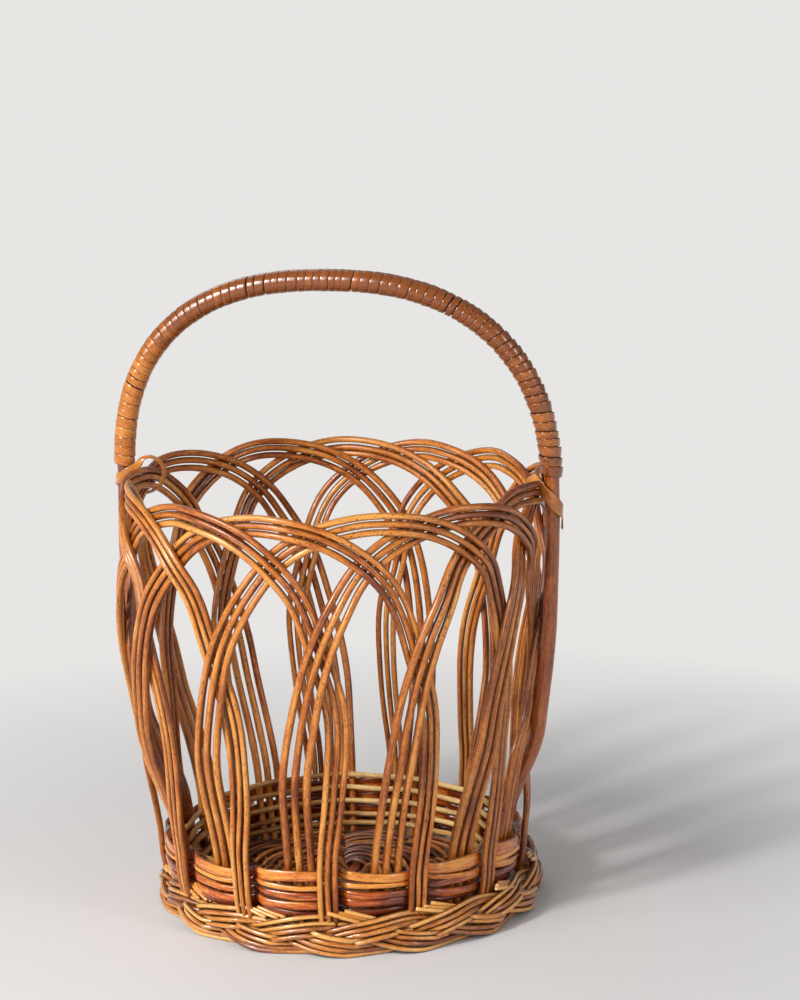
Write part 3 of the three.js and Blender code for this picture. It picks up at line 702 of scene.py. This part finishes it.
def make_inner_rows():
    """The pale weavers: each hugs the rising rods from inside and runs straight between them."""
    hug = RISING_FOOT_OFFSET - (ROD_BUTT_DIAMETER + INNER_ROW_DIAMETER) / 2 - 0.15
    core_pass = CORE_FOOT_OFFSET - (CORE_DIAMETER + INNER_ROW_DIAMETER) / 2 - 0.3
    bay, angle, within = round_the_wall(24)
    out = smooth_curve([0.0, 0.06, 0.35, 0.64, 0.85, 1.0], [0.1, 0.0, -1.1, 0.0, 0.25, 0.1], within) + hug
    near_core = 1 - ramp(np.abs(angle_from_handle(angle)), 0.4 * BAY_ANGLE, 0.8 * BAY_ANGLE)
    out = out + (np.minimum(core_pass, out) - out) * near_core
    straw = ramp(np.cos(angle - STRAW_ANGLE), 0.75, 0.95)
    for row, level in enumerate(INNER_HEIGHTS):
        label = f"inner {row}"
        height = level + loop_wander(label, angle, 0.55) + bay_wander(label, bay, 0.7)
        line = on_wall(bay, height, out)
        half = INNER_ROW_DIAMETER / 2 * (1 + loop_wander(f"{label} girth", angle, 0.06))
        tone = 0.2 - 0.2 * row + 1.3 * straw + loop_wander(f"{label} tone", angle, 0.5)
        rod = Sweep().add(line, away_from_axis(line), half, half, round_section(12), tone, label,
                          closed=True)
        nodes = [f"inner_weaver_{INNER_NODES - row}"] if row < INNER_NODES else []
        rod.make(f"inner_weaver_row_{row + 1}", PALE_WILLOW, nodes, "pale_willow")


# The foot braid

BRAID_WAVES = 5
BRAID_STRANDS = 3
BRAID_RADIUS = 94.2
BRAID_PERIOD = 2 * np.pi * BRAID_RADIUS / BRAID_WAVES
BRAID_LEAN = math.radians(9)
# The plait's face falls back by this times the square of the way across it
BRAID_BULGE = 0.022
BRAID_SWING = 5.2
BRAID_LIFT = 2.7
BRAID_TURN = math.radians(-5)
BRAID_CENTRE_HEIGHT = 9.7
BRAID_SHIFT_RIGHT = 4.0
BRAID_SHIFT_BACK = 1.6
RODS_PER_STRAND = 4
BRAID_ROD_DIAMETER = 2.65
# How far touching rods push each other along, across and out of the plait, and how they settle
BRAID_PUSH = np.array([0.1, 0.3, 1.0])
ROUNDS = 60
ROD_ROOM = 1.02
PUSH_SHARE = 0.75
STRAIGHTENING = 0.3
RETURN_SHARE = 0.05


def braid_frame(angle):
    """The plait's directions at an angle: level, and outwards and across with the plait's lean."""
    level = around_axis(1.0, angle, 0.0)
    out = level * math.cos(BRAID_LEAN) + UP * math.sin(BRAID_LEAN)
    across = -level * math.sin(BRAID_LEAN) + UP * math.cos(BRAID_LEAN)
    return level, out, across


def braid_centre(height):
    """The middle of the braid's ring at a height. The ring lies a little off the wall's axis."""
    return np.array(seen_from_camera(BRAID_SHIFT_RIGHT, BRAID_SHIFT_BACK, height))


def loose_braid(steps):
    """The rods of one wave of the plait before they are pushed apart. Each strand is a flat band."""
    along = np.arange(steps) / steps * BRAID_PERIOD
    lines = []
    for strand in range(BRAID_STRANDS):
        phase = 2 * np.pi * along / BRAID_PERIOD + 2 * np.pi * strand / BRAID_STRANDS
        swing = BRAID_SWING * np.sin(phase)
        slope = BRAID_SWING * np.cos(phase) * 2 * np.pi / BRAID_PERIOD
        size = np.hypot(1, slope)
        lift = BRAID_LIFT * np.sin(2 * phase)
        for rod in range(RODS_PER_STRAND):
            side = (rod - (RODS_PER_STRAND - 1) / 2) * BRAID_ROD_DIAMETER
            lines.append(np.stack([along - side * slope / size, swing + side / size, lift], -1))
    return np.array(lines)


def relaxed_braid():
    """The rods of one wave of the plait, pushed apart until they lie on each other.

    Rows are rod, step and the way along, across and out of the plait."""
    target = loose_braid(76)
    lines = target.copy()
    rods, steps = lines.shape[:2]
    owner = np.repeat(np.arange(rods), steps)
    ghost_owner = np.tile(owner, 3)
    for _ in range(ROUNDS):
        points = lines.reshape(-1, 3)
        ghosts = np.concatenate([points, points + [BRAID_PERIOD, 0, 0], points - [BRAID_PERIOD, 0, 0]])
        push = np.zeros_like(points)
        for rod in range(rods):
            gap = points[owner == rod][:, None] - ghosts[ghost_owner != rod][None]
            distance = np.linalg.norm(gap, axis=-1)
            deep = np.clip(BRAID_ROD_DIAMETER * ROD_ROOM - distance, 0, None)
            weight = deep / np.maximum(distance, 1e-6)
            touching = np.maximum((deep > 0).sum(1), 1)[:, None]
            push[owner == rod] = PUSH_SHARE * (gap * weight[..., None]).sum(1) / touching
        push *= BRAID_PUSH
        lines = (points + push).reshape(lines.shape)
        before, after = np.roll(lines, 1, 1), np.roll(lines, -1, 1)
        before[:, 0, 0] -= BRAID_PERIOD
        after[:, -1, 0] += BRAID_PERIOD
        lines += STRAIGHTENING * ((before + after) / 2 - lines)
        lines += RETURN_SHARE * (target - lines)
    return lines


def make_braid():
    """The three strands of the plait, each a bundle of rods that follow the same wave five times."""
    lines = relaxed_braid()
    for strand in range(BRAID_STRANDS):
        bundle = Sweep()
        for rod in range(strand * RODS_PER_STRAND, (strand + 1) * RODS_PER_STRAND):
            label = f"braid {strand} {rod}"
            waves = [lines[rod] + [wave * BRAID_PERIOD, 0, 0] for wave in range(BRAID_WAVES)]
            whole = np.concatenate(waves)
            angle = whole[:, 0] / BRAID_RADIUS + BRAID_TURN
            level, out, across = braid_frame(angle)
            thickness = BRAID_ROD_DIAMETER * random.Random(f"{label} size").uniform(0.84, 1.08)
            drift = loop_wander(f"{label} drift", angle, 0.4)
            drift = drift + loop_wander(f"strand {strand} drift", angle, 0.5)
            lift = loop_wander(f"{label} lift", angle, 0.15) - BRAID_BULGE * whole[:, 1] ** 2
            line = level * BRAID_RADIUS + braid_centre(BRAID_CENTRE_HEIGHT)
            line = line + across * (whole[:, 1] + drift)[:, None] + out * (whole[:, 2] + lift)[:, None]
            half = thickness / 2 * (1 + loop_wander(f"{label} girth", angle, 0.08))
            line[:, 2] = np.maximum(line[:, 2], half)
            tone = random.Random(label).uniform(-0.6, 0.7) + loop_wander(f"{label} tone", angle, 0.6)
            # Painted shade darkens the rods' sides, where shade falls between them
            bundle.add(line, out, half, half, round_section(10), tone, label, closed=True,
                       crevice_shade=(0.95, 0.95))
        nodes = [f"foot_braid_strand_{strand + 1}"]
        bundle.make(f"foot_braid_bundle_{strand + 1}", BRAID_WILLOW, nodes, "braid_willow")


CUT_ENDS_PER_BAY = 3
CUT_END_LENGTH = 15.0
CUT_END_LOW = 17.0
CUT_END_HIGH = 20.8


def make_braid_ends():
    """The trimmed rod ends that stick out of the plait's upper edge by each falling bundle."""
    ends = Sweep()
    steps = 9
    for arch in range(ARCH_COUNT):
        for number in range(CUT_ENDS_PER_BAY):
            label = f"braid end {arch} {number}"
            rng = random.Random(label)
            bay = arch + FALLING_FOOT_BAY + 0.22 + 0.1 * number + rng.uniform(-0.03, 0.03)
            angle = bay_angle_at(bay) - np.linspace(0, CUT_END_LENGTH, steps) / BRAID_RADIUS
            radius = BRAID_RADIUS - 0.6 - 1.6 * number + rng.uniform(-0.5, 0.5)
            height = np.linspace(CUT_END_LOW, CUT_END_HIGH + rng.uniform(-0.6, 1.4), steps)
            line = around_axis(radius, angle, height) + braid_centre(0.0)
            half = rng.uniform(0.85, 1.2)
            tone = rng.uniform(0.2, 1.2)
            ends.add(line, away_from_axis(line), half, half, round_section(10), tone, label)
    ends.make("foot_braid_cut_ends", BRAID_WILLOW, [], "braid_willow")


# The handle

WRAP_TURNS = 76
WRAP_THICKNESS = 1.2
WRAP_PADDING = 0.6
WRAP_START_LEFT = 6.0
WRAP_START_RIGHT = 3.4
# Turns that are narrow enough to leave a gap beside them
OPEN_TURNS = (23, 24, 47, 66)
OPEN_TURN_COVER = 0.78
TIE_THICKNESS = 1.0
TIE_TURN = 0.8


def core_radius_at(side, height):
    """The radius of the core's line at heights up to the rim. Side is 1 on the right, -1 on the left."""
    crossing = ramp(height, WALL_TOP_HEIGHT + 4, SHOULDER_HEIGHT - 6)
    offset = CORE_FOOT_OFFSET + (CORE_STANDOFF - CORE_FOOT_OFFSET) * crossing
    return wall_radius(0.0 if side > 0 else np.pi, height) + offset


def core_reach_at_rim(side):
    return core_radius_at(side, RIM_HEIGHT).item()


def core_line():
    """The core's line: up one side of the wall, over in a full hoop and down the other side."""
    heights = np.arange(CORE_FOOT_HEIGHT, RIM_HEIGHT, 3.0)
    turn = np.linspace(0, np.pi / 2, 91)
    halves = []
    for side, fullness in ((1, RIGHT_FULLNESS), (-1, LEFT_FULLNESS)):
        upright = np.stack([side * core_radius_at(side, heights), 0 * heights, heights], -1)
        reach = side * core_reach_at_rim(side) * np.cos(turn) ** (2 / fullness)
        lift = np.sin(turn) ** (2 / fullness)
        hoop = np.stack([reach, 0 * turn, RIM_HEIGHT + HOOP_RISE * lift], -1)
        halves.append(np.concatenate([upright, hoop]))
    return evened(np.concatenate([halves[0], halves[1][::-1]]), 2.5)


def read_rows(x, xs, rows):
    """The rows that belong to xs, read at x along straight lines."""
    return np.stack([np.interp(x, xs, column) for column in rows.T], -1)


def evened(points, step):
    """The same line with points at even steps."""
    along = line_lengths(points)
    keep = np.concatenate([[True], np.diff(along) > 1e-6])
    along, points = along[keep], points[keep]
    return read_rows(np.linspace(0, along[-1], int(along[-1] / step) + 1), along, points)


def make_core(line):
    out = np.cross(run_along(line), ACROSS_HOOP)
    along = line_lengths(line)
    wrapped = ramp(line[:, 2], RIM_HEIGHT + WRAP_START_RIGHT + 1, RIM_HEIGHT + WRAP_START_RIGHT + 6)
    half = CORE_DIAMETER / 2 * (1 + wander("core girth", along, 90, 0.02)) + WRAP_PADDING * wrapped
    # Painted shade: the core darkens under the wrap, so that the gaps between turns look dark
    tone = wander("core tone", along, 150, 0.7) - 1.6 * wrapped
    rod = Sweep().add(line, out, half, half, round_section(16), tone, "core")
    rod.make("handle_core_rod", CORE_WILLOW, ["handle_core"], "core_willow")


def make_wrap(line):
    """The cane wrap: one unbroken strip, wound in close turns that lap a little like tiles."""
    along = line_lengths(line)
    above = line[:, 2] - RIM_HEIGHT
    start = along[np.flatnonzero((line[:, 0] > 0) & (above > WRAP_START_RIGHT))[0]]
    stop = along[np.flatnonzero((line[:, 0] < 0) & (above > WRAP_START_LEFT))[-1]]
    rng = random.Random("wrap")
    widths = np.array([rng.uniform(0.76, 1.24) for _ in range(WRAP_TURNS)])
    edges = start + np.concatenate([[0], np.cumsum(widths)]) / widths.sum() * (stop - start)
    steps_per_turn = 24
    turns = np.arange(WRAP_TURNS * steps_per_turn + 1) / steps_per_turn
    middles = np.arange(WRAP_TURNS) + 0.5
    centre = np.interp(turns, np.arange(WRAP_TURNS + 1), edges)
    width = np.interp(turns, middles, widths) / widths.sum() * (stop - start)
    place = read_rows(centre, along, line)
    run = unit(read_rows(centre, along, run_along(line)))
    out = unit(np.cross(run, ACROSS_HOOP))
    turn = 2 * np.pi * turns
    way = out * np.cos(turn)[:, None] + ACROSS_HOOP * np.sin(turn)[:, None]
    radius = CORE_DIAMETER / 2 + WRAP_PADDING + WRAP_THICKNESS / 2
    radius = radius + 0.1 * wander("wrap radius", centre, 23, 1.0)
    at = place + way * radius[:, None]
    # The turns lap like tiles, more so on the right side of the hoop.
    right = ramp(place[:, 0], 20.0, 95.0)
    hint = unit(way - run * (0.04 + 0.15 * right)[:, None])
    turn_tones = [rng.uniform(-1, 1) for _ in range(WRAP_TURNS)]
    tone = 0.2 * np.interp(turns, middles, turn_tones) + wander("wrap tone", centre, 60, 0.3)
    # Painted shade: the turns darken over the top of the hoop, which the key light from the front-left
    # barely reaches, and down the right side, away from it
    tone = tone - 1.5 * ramp(place[:, 2] - RIM_HEIGHT, 55.0, 92.0) - 0.9 * right
    cover = [OPEN_TURN_COVER if number in OPEN_TURNS else 1.0 for number in range(WRAP_TURNS)]
    half_across = 0.505 * width * np.interp(turns, middles, cover)
    section = strip_section(20, flatness=0.5, back=0.5, dome=0.4)
    # Painted shade darkens the turns' edges, in the lines between them
    strip = Sweep().add(at, hint, WRAP_THICKNESS / 2, half_across, section, tone, "wrap",
                        crevice_shade=(0.85, 0.85), sharpness=14)
    strip.make("handle_cane_wrap", CANE, ["handle_wrap"], "cane")


# Points on each tie's middle line: how far out from the core's, how far along +Y, how far above the rim
LEFT_TIE_WIDTHS = (5.4, 3.0)
LEFT_TIE_ROUTE = [
    (4.6, 0.5, -2.5), (2.5, -4.2, -1.5), (-1.5, -4.7, 1.0), (-5.5, -3.8, 3.6), (-8.2, -2.6, 6.0),
    (-10.0, -1.0, 8.8), (-13.8, 0.5, 9.6), (-18.4, 1.5, 6.8), (-20.2, 2.0, 1.8), (-17.8, 2.4, -4.6),
    (-12.6, 3.4, -8.6), (-7.8, 4.6, -10.2), (-3.0, 5.0, -8.8), (2.0, 4.4, -5.5), (4.6, 0.5, -2.5),
]
RIGHT_TIE_WIDTHS = (6.4, 4.6)
RIGHT_TIE_ROUTE = [
    (-13.5, 4.5, -2.0), (-12.4, 2.6, 2.6), (-9.6, -0.4, 4.8), (-6.4, -3.2, 3.2), (-2.6, -4.7, -1.0),
    (1.8, -4.6, -5.8), (4.4, -2.2, -9.8), (4.8, 0.6, -13.0), (4.5, 2.0, -16.5), (4.3, 2.4, -20.0),
]


def make_tie(label, side, route, widths):
    """A flat strip of cane round the core and the arch tops. Widths are at the core and away from it."""
    core_reach = core_reach_at_rim(side)
    points = np.array([(side * (core_reach + out), back, RIM_HEIGHT + rise) for out, back, rise in route])
    stations = line_lengths(points)
    line = evened(smooth_curve(stations, points, np.linspace(0, stations[-1], 240)), 0.8)
    from_core = (line - [side * core_reach, 0, 0]) * [1, 1, 0]
    from_loop = unit(line - points.mean(0))
    near_core = 1 - ramp(np.linalg.norm(from_core, axis=1), 6.0, 10.0)[:, None]
    # The left strip lies flat over the top of its loop. Elsewhere the strips turn towards the front.
    beside = 1 - np.clip(from_loop[:, 2:], 0, 1) * (side < 0)
    away_from_core = unit(from_loop - TIE_TURN * ACROSS_HOOP * beside)
    hint = smoothed(unit(from_core) * near_core + away_from_core * (1 - near_core), 3)
    width = widths[1] + (widths[0] - widths[1]) * near_core[:, 0]
    # An open tie ends in a narrow tail.
    if route[0] != route[-1]:
        width = width * (1 - 0.6 * ramp(np.linspace(0, 1, len(line)), 0.72, 0.9))
    tone = 0.1 + wander(label, line_lengths(line), 25, 0.4)
    section = strip_section(14, flatness=0.5, back=0.5)
    # Painted shade darkens the strip's edges
    strip = Sweep().add(line, hint, TIE_THICKNESS / 2, width / 2, section, tone, label,
                        crevice_shade=(0.7, 0.7), sharpness=14)
    strip.make(f"handle_cane_tie_{label}", CANE, [f"handle_tie_{label}"], "cane")


# The base

STICK_HEIGHT = 4.55
STICK_SPACING = 6.6
STICK_CROSS_HALF = 15.0
STICK_STEPS = 70
STICK_END_RADIUS = 2.1
STICK_HALF_WIDTH = 2.8
SLIT_STICK_HALF_HEIGHT = 2.6
THROUGH_STICK_HALF_HEIGHT = 1.3
SPOKES = 12
BASE_OUTER = 75.0
BASE_INNER = 21.5
TWIG_DIAMETER = 2.5
TWIG_SWING = 2.9
LOWEST_TWIG_HEIGHT = 1.9


def base_stick_line(place, turn):
    """A stick's line: beside its neighbours in the middle, and fanned out towards both ends."""
    fan = place * math.pi / 6
    reach = BASE_OUTER - 3.0
    side = place * STICK_SPACING
    outer = [(share * reach * math.cos(fan), share * reach * math.sin(fan)) for share in (0.55, 1.0)]
    middle = [(-STICK_CROSS_HALF, side), (0.0, side), (STICK_CROSS_HALF, side)]
    flat = [(-x, y) for x, y in outer[::-1]] + middle + outer
    rows = np.array([(x, y, STICK_HEIGHT) for x, y in flat])
    line = smooth_curve(rows[:, 0], rows, np.linspace(rows[0, 0], rows[-1, 0], STICK_STEPS))
    x, y = turned(line[:, 0], line[:, 1], turn)
    return np.stack([x, y, line[:, 2]], -1)


def make_base_sticks():
    """Three slit sticks and three flat ones pushed through them. Beyond the middle all are round."""
    kinds = (("slit", 0.0, SLIT_STICK_HALF_HEIGHT), ("through", math.pi / 2, THROUGH_STICK_HALF_HEIGHT))
    for kind, turn, middle_half_height in kinds:
        for place in (-1, 0, 1):
            label = f"base_{kind}_stick_{place + 2}"
            line = base_stick_line(place, turn)
            spread = ramp(np.linalg.norm(line[:, :2], axis=1), STICK_CROSS_HALF + 6, 36)
            half_out = middle_half_height + (STICK_END_RADIUS - middle_half_height) * spread
            half_across = STICK_HALF_WIDTH + (STICK_END_RADIUS - STICK_HALF_WIDTH) * spread
            tone = wander(label, np.arange(float(STICK_STEPS)), 40, 0.6)
            rod = Sweep().add(line, UP, half_out, half_across, round_section(14), tone, label)
            rod.make(f"{label}_willow", BASE_WILLOW, [label], "base_willow")


def make_base_weave():
    """Twigs worked round the spokes, over one and under the next, row after row."""
    weave = Sweep()
    radius = BASE_INNER
    row = 0
    while radius < BASE_OUTER:
        label = f"base {row}"
        steps = max(int(2 * np.pi * radius / 2.6), 72)
        angle = 2 * np.pi * np.arange(steps) / steps
        wave = np.cos(SPOKES / 2 * angle + (row % 2) * np.pi)
        wave = np.sign(wave) * np.abs(wave) ** 0.6
        height = STICK_HEIGHT + 0.3 + TWIG_SWING * wave + loop_wander(f"base rise {row}", angle, 0.5)
        here = radius + loop_wander(label, angle, 0.6)
        line = around_axis(here, angle, np.maximum(height, LOWEST_TWIG_HEIGHT))
        half = TWIG_DIAMETER / 2 * (1 + loop_wander(f"base girth {row}", angle, 0.14))
        tone = random.Random(label).uniform(-0.9, 0.9) + loop_wander(f"base tone {row}", angle, 1.1)
        # Painted shade darkens the twigs' sides, between the rows
        weave.add(line, UP, half, half, round_section(8), tone, label, closed=True, crevice_shade=(0.85, 0.85),
                  sharpness=2)
        radius += TWIG_DIAMETER * 1.02
        row += 1
    weave.make("base_weave_twigs", BASE_WILLOW, ["base_weave"], "base_willow")


# The camera, the stage and the light

FOCAL_PIXELS = 2600.0
FRAME_PIXELS = 1000.0
CAMERA_DISTANCE = 1262.6
CAMERA_HEIGHT = 459.9
CAMERA_AZIMUTH = math.radians(16.2)
CAMERA_PITCH = math.radians(11.52)
CAMERA_YAW = math.radians(1.46)
CAMERA_ROLL = math.radians(1.05)


def make_camera():
    data = bpy.data.cameras.new("camera")
    data.sensor_width = 36.0
    data.lens = data.sensor_width * FOCAL_PIXELS / FRAME_PIXELS
    data.clip_start = 0.05
    data.clip_end = 50.0
    round_basket = Matrix.Rotation(CAMERA_AZIMUTH, 4, "Z")
    place = Matrix.Translation(Vector((0, -CAMERA_DISTANCE, CAMERA_HEIGHT)) * METRES)
    yaw = Matrix.Rotation(-CAMERA_YAW, 4, "Z")
    pitch = Matrix.Rotation(math.pi / 2 - CAMERA_PITCH, 4, "X")
    roll = Matrix.Rotation(-CAMERA_ROLL, 4, "Z")
    camera = new_object("camera", data)
    camera.matrix_world = round_basket @ place @ yaw @ pitch @ roll
    bpy.context.scene.camera = camera


BACKGROUND = linear(232, 230, 228)
TABLE = linear(219, 219, 220)
AMBIENT = (1.0, 0.99, 0.98, 1.0)
AMBIENT_STRENGTH = 0.28
FLOOR_HALF = 12.0
FADE_START = 0.2
FADE_END = 0.5


def make_floor():
    """A pale table that fades into the pale background a little way from the basket."""
    corners = [(x * FLOOR_HALF, y * FLOOR_HALF, 0) for x, y in ((-1, -1), (1, -1), (1, 1), (-1, 1))]
    mesh = bpy.data.meshes.new("floor")
    mesh.from_pydata(corners, [], [(0, 1, 2, 3)])
    floor = new_object("floor", mesh)
    material = bpy.data.materials.new("table_finish")
    tree = empty_tree(material)
    place = node(tree, "ShaderNodeNewGeometry").outputs["Position"]
    distance = node(tree, "ShaderNodeVectorMath", {0: place}, operation="LENGTH").outputs["Value"]
    rays = node(tree, "ShaderNodeLightPath").outputs
    seen = maths(tree, "MAXIMUM", rays["Is Glossy Ray"], rays["Is Transmission Ray"])
    seen = maths(tree, "MAXIMUM", rays["Is Camera Ray"], seen)
    factor = times(tree, rescale(tree, distance, FADE_START, FADE_END), seen)
    table = node(tree, "ShaderNodeBsdfDiffuse", {"Color": TABLE}).outputs[0]
    plain = node(tree, "ShaderNodeEmission", {"Color": BACKGROUND, "Strength": 1.0}).outputs[0]
    mixed = node(tree, "ShaderNodeMixShader", {0: factor, 1: table, 2: plain}).outputs[0]
    node(tree, "ShaderNodeOutputMaterial", {"Surface": mixed})
    mesh.materials.append(material)


def make_world():
    """A soft light from all sides. The camera sees the plain background in its place."""
    world = bpy.data.worlds.new("studio")
    bpy.context.scene.world = world
    tree = empty_tree(world)
    rays = node(tree, "ShaderNodeLightPath").outputs
    seen = maths(tree, "MAXIMUM", rays["Is Camera Ray"], rays["Is Transmission Ray"])
    light = node(tree, "ShaderNodeBackground", {"Color": AMBIENT, "Strength": AMBIENT_STRENGTH}).outputs[0]
    shown = node(tree, "ShaderNodeBackground", {"Color": BACKGROUND, "Strength": 1.0}).outputs[0]
    mixed = node(tree, "ShaderNodeMixShader", {0: seen, 1: light, 2: shown}).outputs[0]
    node(tree, "ShaderNodeOutputWorld", {"Surface": mixed})


def seen_from_camera(right, back, up):
    """A place given as the camera sees it: right of the basket, behind it and above the floor."""
    return (*turned(right, back, CAMERA_AZIMUTH), up)


# Each lamp's name, its place as it lies from the camera, its size in metres, its power and its colour
LAMPS = [
    ("key", (-1.15, -1.05, 1.1), (0.22, 0.22), 19.0, (1.0, 0.985, 0.965)),
    ("soft key", (-1.2, -1.05, 0.95), (1.3, 0.9), 20.0, (1.0, 0.985, 0.965)),
    ("fill", (1.6, -1.2, 0.7), (1.4, 1.0), 3.5, (1.0, 0.99, 0.98)),
    ("glint", (1.15, -1.05, 0.75), (0.1, 0.5), 2.8, (1.0, 0.99, 0.98)),
    ("rim", (-0.5, 1.3, 1.3), (0.9, 0.7), 3.0, (1.0, 0.985, 0.97)),
]
LAMP_TARGET = Vector((0, 0, 0.14))


def make_lamps():
    for name, place, size, power, colour in LAMPS:
        data = bpy.data.lights.new(name, "AREA")
        data.shape = "RECTANGLE"
        data.size, data.size_y = size
        data.energy = power
        data.color = colour
        lamp = new_object(name, data)
        lamp.location = seen_from_camera(*place)
        lamp.rotation_mode = "QUATERNION"
        lamp.rotation_quaternion = (LAMP_TARGET - lamp.location).to_track_quat("-Z", "Y")


make_camera()
make_arches()
make_outer_rows()
make_inner_rows()
make_braid()
make_braid_ends()
handle_line = core_line()
make_core(handle_line)
make_wrap(handle_line)
make_tie("right", 1, RIGHT_TIE_ROUTE, RIGHT_TIE_WIDTHS)
make_tie("left", -1, LEFT_TIE_ROUTE, LEFT_TIE_WIDTHS)
make_base_sticks()
make_base_weave()
make_floor()
make_world()
make_lamps()
bpy.context.scene.view_settings.view_transform = "Standard"
